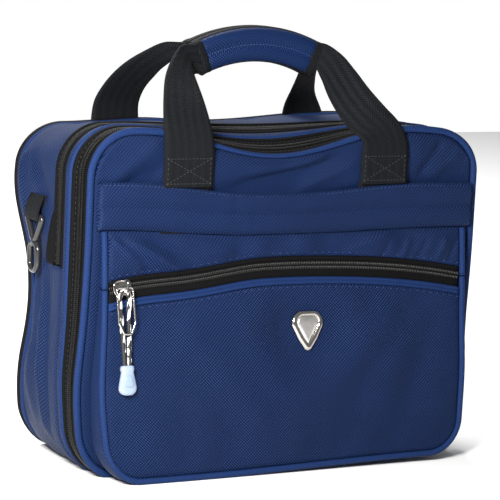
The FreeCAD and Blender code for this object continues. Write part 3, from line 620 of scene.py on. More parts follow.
def webbing_material(name):
    """Black webbing: columns of small chevrons down its length."""
    material, tree, shader = new_material(name, Roughness=0.62, Specular_IOR_Level=0.05, Sheen_Weight=0.01)
    _, u, v = uv_axes(tree)
    column = calc(tree, "PINGPONG", v, 0.0042)
    chevrons = waves(tree, calc(tree, "ADD", u, column), 0.0026)
    gaps = calc(tree, "SUBTRACT", 1.0, waves(tree, v, 0.0084, 1.57))
    height = calc(tree, "MULTIPLY_ADD", chevrons, 0.65, calc(tree, "MULTIPLY", gaps, 0.35))
    fleck = cloud(tree, 600.0, 3.0)
    # The chevrons' height also sets the colour: raised ribs are painted lighter grey and the gaps darker, a
    # painted sheen and shade, mixed with random flecks of tone.
    shade = calc(tree, "MULTIPLY_ADD", fleck, 0.5, calc(tree, "MULTIPLY", height, 0.55))
    colour = blend_colour(tree, shade, (0.0012, 0.0013, 0.0016), (0.0105, 0.0115, 0.0138))
    tree.links.new(colour, shader.inputs["Base Color"])
    bump(tree, shader, height, 0.8, 0.0007)
    return material


def plain(name, colour, rough, scale=60.0, spread=0.25, bumpiness=0.1, **values):
    """Moulded plastic, nylon or metal with slight unevenness in colour, roughness and surface."""
    material, tree, shader = new_material(name, Roughness=rough, **values)
    patch = cloud(tree, scale, 4.0)
    darker = [k * (1 - spread) for k in colour]
    tree.links.new(blend_colour(tree, patch, darker, colour), shader.inputs["Base Color"])
    uneven = ranged(tree, cloud(tree, scale * 3, 3.0), rough * 0.75, rough * 1.3)
    tree.links.new(uneven, shader.inputs["Roughness"])
    bump(tree, shader, cloud(tree, scale * 8, 2.0), bumpiness, 0.0003)
    return material


def flecked_cord(name):
    """Braided cord: black with pale flecks that run round it in short slanting strokes."""
    material, tree, shader = new_material(name, Roughness=0.6, Specular_IOR_Level=0.35)
    coordinates = add(tree, "ShaderNodeTexCoord").outputs["Object"]
    stretched = add(tree, "ShaderNodeMapping", {0: coordinates, 3: (1.0, 1.0, 0.38)}).outputs[0]
    cells = add(tree, "ShaderNodeTexVoronoi", {"Vector": stretched, "Scale": 420.0}, feature="F1")
    pick = add(tree, "ShaderNodeSeparateXYZ", {0: cells.outputs["Color"]}).outputs[0]
    white = calc(tree, "GREATER_THAN", pick, 0.66)
    colour = blend_colour(tree, white, (0.012, 0.012, 0.014), (0.72, 0.72, 0.70))
    tree.links.new(colour, shader.inputs["Base Color"])
    bump(tree, shader, cloud(tree, 1500.0, 2.0), 0.5, 0.0004)
    return material


NAVY = twill("navy_twill", (0.0003, 0.0010, 0.0055), (0.0095, 0.036, 0.145))
NAVY_SOFT = twill("navy_grip", (0.0003, 0.0011, 0.006), (0.0100, 0.037, 0.148), pitch=0.0016, strength=0.45)
LINING = twill(
    "black_lining", (0.006, 0.006, 0.007), (0.03, 0.03, 0.033), pitch=0.0012, strength=0.3, sheen=0.05
)
PIPING = ribbed("navy_piping", (0.0018, 0.005, 0.022), (0.014, 0.036, 0.125))
BLACK_PIPING = ribbed("black_piping", (0.001, 0.001, 0.0013), (0.0095, 0.0095, 0.0112), pitch=0.0022)
TAPE = ribbed(
    "black_tape", (0.001, 0.001, 0.0012), (0.0062, 0.0061, 0.0066), pitch=0.0011, rough=0.6, along=1
)
WEBBING = webbing_material("black_webbing")
COIL = plain("nylon_coil", (0.010, 0.0095, 0.0092), 0.32, Specular_IOR_Level=0.35)
THREAD_NAVY = plain("navy_thread", (0.020, 0.046, 0.14), 0.6, scale=300.0)
THREAD_BLACK = plain("black_thread", (0.020, 0.020, 0.022), 0.6, scale=300.0)
MOULDED = plain("black_moulding", (0.016, 0.016, 0.018), 0.22, scale=90.0, bumpiness=0.15, Coat_Weight=0.3)
NICKEL = plain("nickel", (0.52, 0.50, 0.47), 0.12, scale=120.0, spread=0.12, bumpiness=0.05, Metallic=1.0)
SATIN = plain(
    "satin_nickel", (0.95, 0.93, 0.90), 0.30, scale=200.0, spread=0.15, bumpiness=0.12, Metallic=1.0
)
BOARD = plain("stiffener_board", (0.22, 0.22, 0.23), 0.55)
CORD = flecked_cord("flecked_cord")
MILKY = plain(
    "milky_tip", (0.28, 0.33, 0.43), 0.30, scale=80.0, spread=0.06, Subsurface_Weight=0.25,
    Transmission_Weight=0.12, IOR=1.42,
)


# ------------------------------------------------------------------ relief of the main panels
GUSSET_Y = (REAR - 0.005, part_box("main_gusset")[0][1] - 0.0005)
relief_front = wrinkles("front", 0.396, 0.30, 80, 62, 0.012, 0.35, 0.006, 1)
relief_header = wrinkles("header", 0.374, 0.032, 110, 12, 0.030, 0.25, 0.004, 2)
relief_pocket = wrinkles("pocket", 0.374, 0.175, 92, 44, 0.008, 0.55, 0.0075, 3)
relief_rear = wrinkles("rear", 0.396, 0.30, 80, 62, 0.012, 0.45, 0.007, 4)
relief_gusset = wrinkles("gusset", PERIMETER, 0.080, 300, 20, 0.022, 0.30, 0.0055, 5)


def rounded_low(half, bottom, radius):
    """The lower edge, as a function of x, of a panel with rounded lower corners."""

    def at(x):
        over = np.clip(np.abs(x) - (half - radius), 0, radius)
        return bottom + radius - np.sqrt(radius**2 - over**2)

    return at


def rounded_high(half, top, radius):
    """The upper edge of a panel with rounded upper corners."""

    def at(x):
        return top - rounded_low(half, 0.0, radius)(x)

    return at


# ------------------------------------------------------------------ the case
PANEL_INSET = 0.0045
PANEL_HALF, PANEL_RADIUS = HALF - PANEL_INSET, RADIUS - PANEL_INSET
PANEL_LOW = rounded_low(PANEL_HALF, PANEL_INSET, PANEL_RADIUS)
PANEL_HIGH = rounded_high(PANEL_HALF, HEIGHT - PANEL_INSET, PANEL_RADIUS)


def rear_pieces():

    def height(x, v, fx, fv):
        return 0.003 * hump((fx - 0.5) * 2) * hump((fv - 0.45) * 1.7) + sampled(relief_rear, fx, fv)

    place = lambda x, v, h: back(x, v, h - 0.004)
    panel = slab("rear_panel_cover", place, PANEL_HALF, PANEL_LOW, PANEL_HIGH, 0.0035, height, 130, 90)
    finish_piece(panel, "rear_section", "navy_fabric", NAVY, ["rear_panel"])
    ring = sweep_band("rear_edge_piping", round_loop(REAR - 0.0027, -0.0012, 0.0033, 0.0032), 0, PERIMETER)
    finish_piece(ring, "rear_section", "black_zip_tape", BLACK_PIPING, ["rear_piping"])
    loop = strip_loop(REAR - 0.0065, REAR - 0.0125, 0.0012, 0.002, 8)
    trim = sweep_band("rear_edge_trim", loop, 0, PERIMETER)
    finish_piece(trim, "rear_section", "navy_piping", PIPING)
    board("rear_board", back, 0.0062, "rear_section", 0.270, 0.160)
    loop = strip_loop(REAR - 0.0115, GUSSET_Y[1], 0.0006, 0.0026, 30)
    gusset = sweep_band("main_gusset_cover", loop, 0, PERIMETER, 0.0035, gusset_relief)
    finish_piece(gusset, "rear_section", "navy_fabric", NAVY, ["main_gusset"])
    band_piece("rear_band_cover", "rear", back, "rear_section", "rear_band")


def board(name, surface, depth, body, top, half):
    """A thin stiffener that follows the soft panel it stands against."""
    level = lambda v: (lambda x: np.full_like(x, v))
    nothing = lambda x, v, fx, fv: np.zeros_like(x)
    place = lambda x, v, h: surface(x, v, h - depth)
    piece = slab(f"{name}_cover", place, half, level(0.034), level(top), 0.0012, nothing, 50, 40, 0.001)
    finish_piece(piece, body, "stiffener_board", BOARD, [name])


GUSSET_FOLDS = (  # each from (depth, height) to (depth, height), its width and height
    ((0.054, 0.30), (0.046, 0.20), 0.006, 0.0040),
    ((0.040, 0.30), (0.002, 0.235), 0.008, -0.0046),
    ((0.048, 0.20), (0.030, 0.03), 0.009, 0.0045),
    ((0.034, 0.25), (0.012, 0.06), 0.006, -0.0040),
    ((0.020, 0.20), (-0.004, 0.01), 0.008, 0.0045),
    ((0.004, 0.19), (-0.012, 0.04), 0.005, -0.0030),
)


def gusset_relief(s, y):
    """Folds of the wide gusset: the simulated ones, and long soft ones where the side walls slump."""
    y0, y1 = GUSSET_Y
    fraction = (y0 - y) / (y0 - y1)
    inside = float(smooth(min(fraction, 1 - fraction) * 6))
    h = sampled(relief_gusset, s / PERIMETER, np.full_like(s, fraction)) * 0.6
    on_left = s < PERIMETER / 2
    for run, here in ((s, on_left), (PERIMETER - s, ~on_left)):
        z = run - SIDE_START + RADIUS
        wall = smooth((z - 0.01) / 0.03) * smooth((0.30 - z) / 0.03) * here
        h = with_folds(h, y, z, GUSSET_FOLDS, wall)
    z = np.minimum(s, PERIMETER - s) - SIDE_START + RADIUS
    near_tab = np.exp(-(((y - 0.022) / 0.017) ** 2) - ((z - 0.237) / 0.022) ** 2)
    return h * inside * (1 - near_tab)


def lower_gusset():
    """The stretch below the zip's ends; on the bag it turns with the front when the bag is opened, but this
    piece is baked in place and moves with no body.
    """
    reach = SIDE_START + ZIP_END - RADIUS
    loop = strip_loop(GUSSET_Y[1] + 0.0010, -0.0335, 0.0022, 0.0024, 14)
    piece = sweep_band("lower_gusset_cover", loop, -reach, reach)
    finish_blend(piece, (0, -0.0135, 0), (0, -0.0330, 0), NAVY, ["lower_gusset"])


def coil_row(name, surface, a, b, h, body):
    """The teeth of one half of a coil zip."""
    piece = beads(name, trace(surface, a, b, h), (0.00062, 0.00085, 0.0019))
    return finish_piece(piece, body, "black_zip_tape", COIL)


def rim_zip(name, line, edges, s0, s1, bodies, lip):
    """A zip round the case: two tapes with soft lips, and two rows of teeth."""
    for word, way, edge, body in zip(("rear", "front"), (1, -1), edges, bodies):
        loop = strip_loop(edge, line + way * 0.0006, 0.0003, 0.0016, 8)
        tape = sweep_band(f"{name}_{word}_tape", loop, s0, s1)
        finish_piece(tape, body, "black_zip_tape", TAPE, [f"{name}_{word}"])
        loop = round_loop(edge - way * lip, 0.0006, lip * 0.92, 0.0016)
        folded = sweep_band(f"{name}_{word}_lip", loop, s0, s1)
        finish_piece(folded, body, "black_zip_tape", TAPE)
        s = np.arange(s0 + 0.002 + (COIL_PITCH / 2 if way < 0 else 0), s1 - 0.002, COIL_PITCH)
        coil_row(f"{name}_{word}_coil", case, s, line + way * 0.0019, 0.0008, body)
        stitch_at = edge - way * (2 * lip + 0.0008)
        points = [(k, stitch_at) for k in np.linspace(s0 + 0.004, s1 - 0.004, 60)]
        seam(f"{name}_{word}_seam", case, points, 0.0004, body, THREAD_BLACK, "black_zip_tape")


def zips():
    reach = SIDE_START + ZIP_END - RADIUS
    bodies = ("rear_section", "middle_ring", "front_section")
    rim_zip("main_zip", MAIN_ZIP_Y, MAIN_TAPE, reach, PERIMETER - reach, bodies[:2], 0.0016)
    for word, s in (("left", reach), ("right", PERIMETER - reach)):
        ends = [(s, -0.0140), (s, -0.0225)]
        seam(f"main_zip_end_{word}_seam", case, ends, 0.0026, "rear_section", THREAD_NAVY)
    for word, side in SIDES:
        t = np.linspace(0, 1, 16)
        s = (reach + 0.0005 + t * 0.048) * -side + (PERIMETER if side > 0 else 0)
        edge = -0.0115 + 0.0130 * (1 - t) ** 0.8
        points, uvs = [], []
        across = np.linspace(0, 1, 7)
        for k, lift in [(a, 0.0016) for a in across] + [(a, -0.0005) for a in np.linspace(1, 0, 7)]:
            y = -0.0140 + (edge + 0.0140) * k
            cloth = [
                gusset_relief(np.array([run]), depth)[0] if depth > GUSSET_Y[1] else 0.0
                for run, depth in zip(s % PERIMETER, y)
            ]
            points.append(case(s, y, 0.0004 + lift + np.array(cloth)))
            uvs.append(np.stack([t * 0.048, y], -1))
        patch = tube(f"main_zip_end_{word}_tape", points, uvs)
        finish_piece(patch, "rear_section", "black_zip_tape", TAPE)
    rim_zip("expander_zip", EXPANDER_ZIP_Y, EXPANDER_TAPE, 0.0, PERIMETER, bodies[1:], 0.0024)


def middle_pieces():
    """The narrow strip between the two zips, its piping, and the pleat behind the expander zip."""
    strip = sweep_band("middle_strip_cover", strip_loop(-0.0325, -0.0405, 0.0014, 0.0026, 9), 0, PERIMETER)
    finish_piece(strip, "middle_ring", "navy_fabric", NAVY, ["middle_strip"])
    ring = sweep_band("middle_edge_piping", round_loop(-0.0427, 0.0002, 0.0026, 0.0030), 0, PERIMETER)
    finish_piece(ring, "middle_ring", "navy_piping", PIPING, ["middle_piping"])
    y = [-0.0535, -0.0545, -0.0555, -0.0562, -0.0568, -0.0572, -0.0578, -0.0585, -0.0595, -0.0605]
    deep = [-0.0022, -0.0070, -0.0110, -0.0140, -0.0150]
    outline = list(zip(y, deep + deep[::-1]))
    loop = outline + [(a, b - 0.0010) for a, b in reversed(outline)]
    pleat = sweep_band("expansion_pleat", loop, 0, PERIMETER)
    finish_blend(pleat, (0, y[0], 0), (0, y[-1], 0), NAVY, ["expansion_gusset"])


def band_lift(x):
    """How much higher the band runs away from its middle, most of all at its left end."""
    return 0.0075 * smooth((-x - 0.04) / 0.15) + 0.0020 * smooth((x - 0.04) / 0.12)


def band_piece(name, word, surface, body, node):
    """The double layer of cloth across a panel, with a crease along its middle and a stitched hem."""
    half = HALF - 0.0055

    def height(x, v, fx, fv):
        upper = 0.0036 * np.sqrt(np.clip(1 - ((fv - 0.74) / 0.252) ** 2, 0, 1))
        lower = 0.0044 * np.sqrt(np.clip(1 - ((fv - 0.24) / 0.250) ** 2, 0, 1))
        ripple = 0.0010 * grain(x, v * 2.2, 30.0, 7.0) + 0.0004 * grain(x, v, 90.0, 3.0)
        ripple = ripple - 0.0016 * np.exp(-(((x + 0.060) / 0.0022) ** 2)) * smooth((fv - 0.45) / 0.1)
        return np.maximum(upper, lower) + ripple

    low = lambda x: BAND_LOW + band_lift(x)
    high = lambda x: BAND_HIGH + band_lift(x)
    place = lambda x, v, h: surface(x, v, h + 0.0034)
    piece = slab(name, place, half, low, high, 0.0012, height, 150, 26, 0.0025)
    finish_piece(piece, body, "navy_fabric", NAVY, [node])
    for k, v in (("top", BAND_HIGH - 0.0022), ("low", BAND_LOW + 0.0022)):
        points = [(x, v + float(band_lift(x))) for x in np.linspace(-half + 0.006, half - 0.006, 30)]
        seam(f"{name}_{k}_seam", place, points, 0.0026, body, THREAD_NAVY)


FRONT_FOLDS = (  # above the band: from (across, height) to (across, height), width, height
    ((-0.062, 0.270), (0.052, 0.300), 0.0065, -0.0048),
    ((-0.050, 0.288), (0.040, 0.306), 0.0060, 0.0030),
    ((0.006, 0.266), (0.070, 0.290), 0.0060, 0.0034),
    ((-0.185, 0.268), (-0.135, 0.305), 0.0070, 0.0026),
    ((-0.170, 0.264), (-0.132, 0.282), 0.0045, -0.0026),
    ((0.138, 0.270), (0.165, 0.305), 0.0045, -0.0030),
    ((0.150, 0.268), (0.185, 0.295), 0.0050, 0.0024),
)


def front_pieces():
    def height(x, v, fx, fv):
        upper = smooth((v - 0.262) / 0.012)
        h = sampled(relief_front, fx, fv) * (0.5 + 0.5 * upper) * smooth((v - 0.262) / 0.01 + 0.4)
        h = h + upper * 0.0030 * hump((v - 0.290) / 0.030)
        h = with_folds(h, x, v, FRONT_FOLDS)
        for m in (-1, 1):
            h = h * (1 - hump((x - m * STRAP_SPREAD) / 0.034))
        return np.clip(h, -0.0020, 0.0085)

    place = lambda x, v, h: face(x, v, h - 0.0045)
    panel = slab("front_panel_cover", place, PANEL_HALF, PANEL_LOW, PANEL_HIGH, 0.0035, height, 170, 130)
    finish_piece(panel, "front_section", "navy_fabric", NAVY, ["front_panel"])
    board("front_board", face, 0.0066, "front_section", 0.270, 0.165)
    ring = sweep_band("front_edge_piping", round_loop(FRONT + 0.0022, -0.0006, 0.0028, 0.0034), 0, PERIMETER)
    finish_piece(ring, "front_section", "navy_piping", PIPING, ["front_piping"])
    band_piece("front_band_cover", "front", face, "front_section", "front_band")


# ------------------------------------------------------------------ the front pocket
def pocket_path(level, inset=0.0):
    """Points (x, v) and outward normals along the pocket's outline: down the left, across, up the right."""
    half, bottom, radius = POCKET_HALF - inset, inset, POCKET_RADIUS - inset
    count = max(int((level - radius) / 0.004), 2)

    def corner(centre, start):
        turn = np.radians(np.linspace(start, start + 90, 16)[1:])
        return [
            (centre + radius * math.cos(a), bottom + radius + radius * math.sin(a), math.cos(a), math.sin(a))
            for a in turn
        ]

    left = [(-half, v, -1.0, 0.0) for v in np.linspace(level, bottom + radius, count)]
    base = [(x, bottom, 0.0, -1.0) for x in np.linspace(-half + radius, half - radius, 76)[1:]]
    right = [(half, v, 1.0, 0.0) for v in np.linspace(bottom + radius, level, count)[1:]]
    return np.array(left + corner(-half + radius, 180) + base + corner(half - radius, 270) + right)


def edging(name, path, body, node):
    """Round piping along a path on the pocket's plane."""
    x, v, nx, nv = path.T
    run = run_length(x, v)
    radius = 0.0029
    points, uvs = [], []
    for k in range(12):
        a = 2 * math.pi * k / 12
        off, h = radius * math.cos(a) - radius * 0.9, 0.0020 + radius * math.sin(a)
        points.append(pocket(x + nx * off, v + nv * off, h))
        uvs.append(np.stack([run, np.full_like(run, a * radius)], -1))
    finish_piece(tube(name, points, uvs), body, "navy_piping", PIPING, [node])


POCKET_FOLDS = (
    ((-0.12, 0.150), (-0.02, 0.035), 0.016, 0.0030),
    ((0.175, 0.165), (0.095, 0.045), 0.014, 0.0036),
    ((0.145, 0.160), (0.060, 0.060), 0.012, -0.0024),
)
HEADER_FOLDS = (
    ((-0.186, 0.222), (-0.150, 0.190), 0.0040, 0.0060),
    ((-0.183, 0.216), (-0.135, 0.180), 0.0036, -0.0040),
    ((-0.172, 0.222), (-0.105, 0.184), 0.0050, 0.0056),
    ((-0.150, 0.219), (-0.100, 0.200), 0.0035, -0.0026),
    ((-0.125, 0.219), (-0.060, 0.203), 0.0040, 0.0026),
    ((0.060, 0.203), (0.110, 0.219), 0.0035, 0.0026),
)


def pocket_pieces():
    """The lower front, header, welt, zip and piping of the pocket."""
    edge = 0.0052
    half = POCKET_HALF - edge
    level = float(arc_height(half))
    low = rounded_low(half, edge, POCKET_RADIUS - edge)

    def front_height(x, v, fx, fv):
        h = 0.0040 * hump((fx - 0.5) * 1.9) * hump((fv - 0.5) * 1.6) + sampled(relief_pocket, fx, fv) * 0.8
        h = with_folds(h, x, v, POCKET_FOLDS)
        h = h + 0.0006 * grain(x, v, 24.0, 11.0)
        reach = np.hypot(x - BADGE[0], v - BADGE[1])
        hanging_x = 0.165 - 0.34 * (0.165 - v)  # where the pull hangs with the pocket zip open
        pull_park = np.exp(-(((x - hanging_x) / 0.028) ** 2) - ((v - 0.110) / 0.060) ** 4)
        return h * smooth((reach - 0.019) / 0.045) * (1 - 0.97 * pull_park)

    top = lambda x: arc_height(x, -(TAPE_DOWN + WELT) + 0.0006)
    panel = slab("pocket_front_cover", pocket, half, low, top, 0.0030, front_height, 150, 80)
    finish_piece(panel, "pocket_panel", "navy_fabric", NAVY, ["pocket_front"])

    def header_height(x, v, fx, fv):
        h = sampled(relief_header, fx, fv) + 0.0018 * hump((fv - 0.5) * 2)
        h = with_folds(h, x, v, HEADER_FOLDS)
        for k, x0 in enumerate((0.095, 0.118, 0.137, 0.158, 0.172)):
            h = h + fold(x, v, (x0, 0.190), (x0 + 0.012, 0.214), 0.0030, 0.0024 * (1 if k % 2 else -0.8))
        return np.clip(h, -0.0015, 0.0075)

    header_low = lambda x: arc_height(x, TAPE_UP - 0.0008)
    header_high = lambda x: POCKET_RISE + band_lift(x) - 0.0004
    header = slab(
        "pocket_header_cover", pocket, half, header_low, header_high, 0.0026, header_height, 190, 26, 0.003
    )
    finish_piece(header, "front_section", "navy_fabric", NAVY, ["pocket_header"])

    def welt_height(x, v, fx, fv):
        return 0.0024 * np.abs(np.sin(fv * 2 * math.pi)) ** 0.6

    welt_low = lambda x: arc_height(x, -(TAPE_DOWN + WELT) - 0.0004)
    welt_high = lambda x: arc_height(x, -TAPE_DOWN + 0.0006)
    welt = slab("pocket_welt", pocket, half, welt_low, welt_high, 0.0026, welt_height, 120, 14, 0.0008)
    finish_piece(welt, "pocket_panel", "navy_piping", PIPING, ["pocket_zip_welt"])
    for word, off0, off1, body, node in (
        ("upper", 0.0003, TAPE_UP + 0.0006, "front_section", "pocket_zip_upper"),
        ("lower", -TAPE_DOWN - 0.0004, -0.0003, "pocket_panel", "pocket_zip_lower"),
    ):
        upper = word == "upper"

        def tape_height(x, v, fx, fv):
            rim_side = fv if upper else 1 - fv
            ridge = 0.0016 * smooth((rim_side - 0.45) / 0.2) * smooth((1.04 - rim_side) / 0.2)
            return ridge * (1.0 if upper else 0.35)

        tape_low, tape_high = (lambda x: arc_height(x, off0)), (lambda x: arc_height(x, off1))
        tape = slab(
            f"pocket_zip_{word}_tape", pocket, half, tape_low, tape_high, 0.0016, tape_height, 110, 14, 0.0005
        )
        finish_piece(tape, body, "black_zip_tape", TAPE, [node])
        x = np.arange(-half + 0.002 + (0 if upper else COIL_PITCH / 2), half - 0.002, COIL_PITCH)
        row = arc_height(x, 0.0019 if upper else -0.0019)
        coil_row(f"pocket_zip_{word}_coil", pocket, x, row, 0.0024, body)
    xs = np.linspace(-half + 0.004, half - 0.004, 50)
    rows = (
        ("pocket_upper_seam", TAPE_UP + 0.0030, 0.0036, "front_section"),
        ("pocket_welt_seam", -(TAPE_DOWN + WELT) - 0.0026, 0.0040, "pocket_panel"),
    )
    for name, off, h, body in rows:
        seam(name, pocket, [(x, float(arc_height(x, off))) for x in xs], h, body, THREAD_NAVY)
    edging("pocket_edge_piping", pocket_path(level - 0.0005), "pocket_panel", "pocket_piping")
    for word, m in SIDES:
        v = np.linspace(level + 0.0005, POCKET_RISE + float(band_lift(m * half)) - 0.001, 14)
        line = np.stack([np.full_like(v, m * POCKET_HALF), v, np.full_like(v, m), np.zeros_like(v)], 1)
        edging(f"header_edge_piping_{word}", line, "front_section", "header_piping")
    pocket_gusset(level)


def pocket_gusset(level):
    """The wedge of cloth behind the pocket's edge; it is baked in place and moves with no body, and only its
    two tops move with the front. On the bag, only its strip at the front panel gives as it opens.
    """
    give = (FRONT - 0.0008, FRONT - 0.0040)
    t = np.array([0.0, 0.02, 0.05, 0.09, 0.14, 0.2, 0.3, 0.4, 0.5, 0.6, 0.7, 0.8, 0.9, 1.0])

    def wedge(name, path):
        x, v, nx, nv = path.T
        run = run_length(x, v)
        z = v * math.cos(TILT)
        front_y = FOOT_Y + v * math.sin(TILT) + 0.0006
        back_y = np.full_like(front_y, FRONT - 0.0002)
        depth = back_y - front_y
        columns, uvs = [], []
        crumple = grain(run, np.zeros_like(run), 20.0, 5.0)
        for side in (1, -1):
            for k in t if side > 0 else t[::-1]:
                bulge = depth * (0.10 * math.sin(math.pi * k) + 0.055 * crumple * math.sin(2 * math.pi * k))
                off = -0.0016 + (bulge if side > 0 else bulge - 0.0012)
                p = np.stack([x + nx * off, back_y + (front_y - back_y) * k, z + nv * off], -1)
                columns.append(soften(p))
                uvs.append(np.stack([run, depth * k], -1))
        return tube(name, columns, uvs)

    piece = wedge("pocket_gusset_cover", pocket_path(level - 0.001, 0.0004))
    finish_blend(piece, (0, give[0], 0), (0, give[1], 0), NAVY, ["pocket_gusset"])
    for word, m in SIDES:
        v = np.linspace(level + 0.001, POCKET_RISE - 0.006, 8)
        x = np.full_like(v, m * (POCKET_HALF - 0.0004))
        line = np.stack([x, v, np.full_like(v, m), np.zeros_like(v)], 1)
        finish_piece(wedge(f"pocket_gusset_top_{word}", line), "front_section", "navy_fabric", NAVY)


# ------------------------------------------------------------------ straps, grips and rings
def ribbon(name, stations, wall, columns):
    """Webbing along stations of (centre, across, out, width)."""
    lengths = line_length(np.array([s[0] for s in stations], float))
    step = 0.002
    fine = np.arange(0, lengths[-1] + step / 2, step)

    def eased(values):
        """A cubic through the stations' values, with slopes from their neighbours."""
        values = np.array(values, float).reshape(len(stations), -1)
        slopes = np.gradient(values, lengths, axis=0)
        k = np.clip(np.searchsorted(lengths, fine, "right") - 1, 0, len(lengths) - 2)
        gap = (lengths[k + 1] - lengths[k])[:, None]
        t = ((fine - lengths[k]) / gap[:, 0])[:, None]
        h = (2 * t**3 - 3 * t**2 + 1, t**3 - 2 * t**2 + t, -2 * t**3 + 3 * t**2, t**3 - t**2)
        return h[0] * values[k] + h[1] * gap * slopes[k] + h[2] * values[k + 1] + h[3] * gap * slopes[k + 1]

    centre, wide, out = (eased([s[i] for s in stations]) for i in (0, 1, 2))
    widths = eased([s[3] for s in stations])[:, 0]
    wide /= np.linalg.norm(wide, axis=1, keepdims=True)
    out -= wide * np.sum(out * wide, 1, keepdims=True)
    out /= np.linalg.norm(out, axis=1, keepdims=True)
    across = np.linspace(-0.5, 0.5, columns)
    points, uvs = [], []
    for a, face_side in [(a, 1) for a in across] + [(a, -1) for a in across[::-1]]:
        lift = face_side * wall / 2 * (1 - 0.35 * (abs(a) * 2) ** 10)
        points.append(centre + wide * (a * widths)[:, None] + out * lift)
        uvs.append(np.stack([fine, a * widths + 0.0008 * (face_side < 0)], -1))
    return tube(name, points, uvs)


def grip_point(angle, y, up):
    """A point of the grip: angle along its arc, y in depth, up from its middle line."""
    radius = GRIP_ARC + up
    height = GRIP_MIDDLE - GRIP_ARC + radius * np.cos(angle)
    return np.stack([radius * np.sin(angle), y + 0 * angle, height], -1)


# Free run of a left and a right strap: distance from the middle, depth, height, width, slope of its cross
# direction, and how far its face leans up
STRAP_RUN = {
    "left": [
        (0.1040, 0.0765, 0.309, 0.0490, 0.00, 0.05),
        (0.1050, 0.0720, 0.326, 0.0460, 0.05, 0.35),
        (0.1030, 0.0620, 0.341, 0.0415, 0.12, 0.60),
        (0.0975, 0.0460, 0.357, 0.0350, 0.30, 0.80),
        (0.0880, 0.0290, 0.371, 0.0250, 0.60, 0.80),
        (0.0780, 0.0175, 0.379, 0.0200, 0.95, 0.50),
        (0.0640, 0.0135, 0.3785, 0.0200, 1.19, 0.10),
        (0.0560, 0.0110, 0.3805, 0.0200, 1.19, 0.00),
    ],
    "right": [
        (0.1030, 0.0765, 0.302, 0.0480, 0.00, 0.02),
        (0.0990, 0.0745, 0.312, 0.0440, 0.30, 0.25),
        (0.0900, 0.0660, 0.323, 0.0420, 0.55, 0.45),
        (0.0820, 0.0510, 0.338, 0.0400, 0.65, 0.55),
        (0.0770, 0.0350, 0.354, 0.0370, 0.75, 0.60),
        (0.0715, 0.0210, 0.370, 0.0300, 0.90, 0.50),
        (0.0640, 0.0135, 0.3785, 0.0240, 1.19, 0.15),
        (0.0560, 0.0110, 0.3805, 0.0210, 1.19, 0.00),
    ],
}


def straps():
    """Each handle's two straps: sewn to the band, free above it, narrowing where they enter the grip."""
    ux = np.array([1.0, 0.0, 0.0])
    for word, side, fixed in (("front", -1, "front_section"), ("rear", 1, "rear_section")):
        out = np.array([0.0, side * 1.0, 0.0])

        def sewn(m, y, heights):
            return [((m * STRAP_SPREAD, side * y, z), ux, out, STRAP_WIDTH) for z in heights]

        for hand, m in SIDES:
            stations = sewn(m, STRAP_Y, (0.264, 0.278, 0.293))
            for x, depth, z, wide, slope, lean in STRAP_RUN[hand]:
                turned = [math.cos(slope), 0, m * math.sin(slope)]
                facing = [m * math.sin(slope) * math.sin(lean), side * math.cos(lean), math.sin(lean)]
                stations.append(((m * x, side * depth, z), turned, facing, wide))
            strap = ribbon(f"{word}_strap_{hand}", stations, 0.0026, 13)
            start, end = ((0, side * 0.0767, z) for z in (0.2950, 0.3030))
            nodes = (f"{word}_handle_anchors", f"{word}_handle_webbing") if m < 0 else ()
            finish_blend(strap, start, end, WEBBING, nodes)
            anchor = ribbon(f"{word}_anchor_{hand}", sewn(m, 0.0737, (0.222, 0.24, 0.2655)), 0.0024, 9)
            finish_piece(anchor, fixed, "black_webbing", WEBBING)
            box_stitches(word, side, hand, m, STRAP_Y + 0.0016, fixed)


def box_stitches(word, side, hand, m, depth, body):
    """The square of stitches with its cross at the foot of a strap."""
    x0, x1, z0, z1 = m * STRAP_SPREAD - 0.0215, m * STRAP_SPREAD + 0.0215, 0.2675, 0.2900
    plane = lambda a, b, h: np.stack([a, side * (depth + h) + 0 * a, b], -1)
    outline = [(x0, z0), (x1, z0), (x1, z1), (x0, z1), (x0, z0), (x1, z1)]
    for name, points in ((f"{word}_box_{hand}", outline), (f"{word}_box_cross_{hand}", [(x1, z0), (x0, z1)])):
        seam(name, plane, points, -0.0001, body, THREAD_BLACK, "black_webbing")


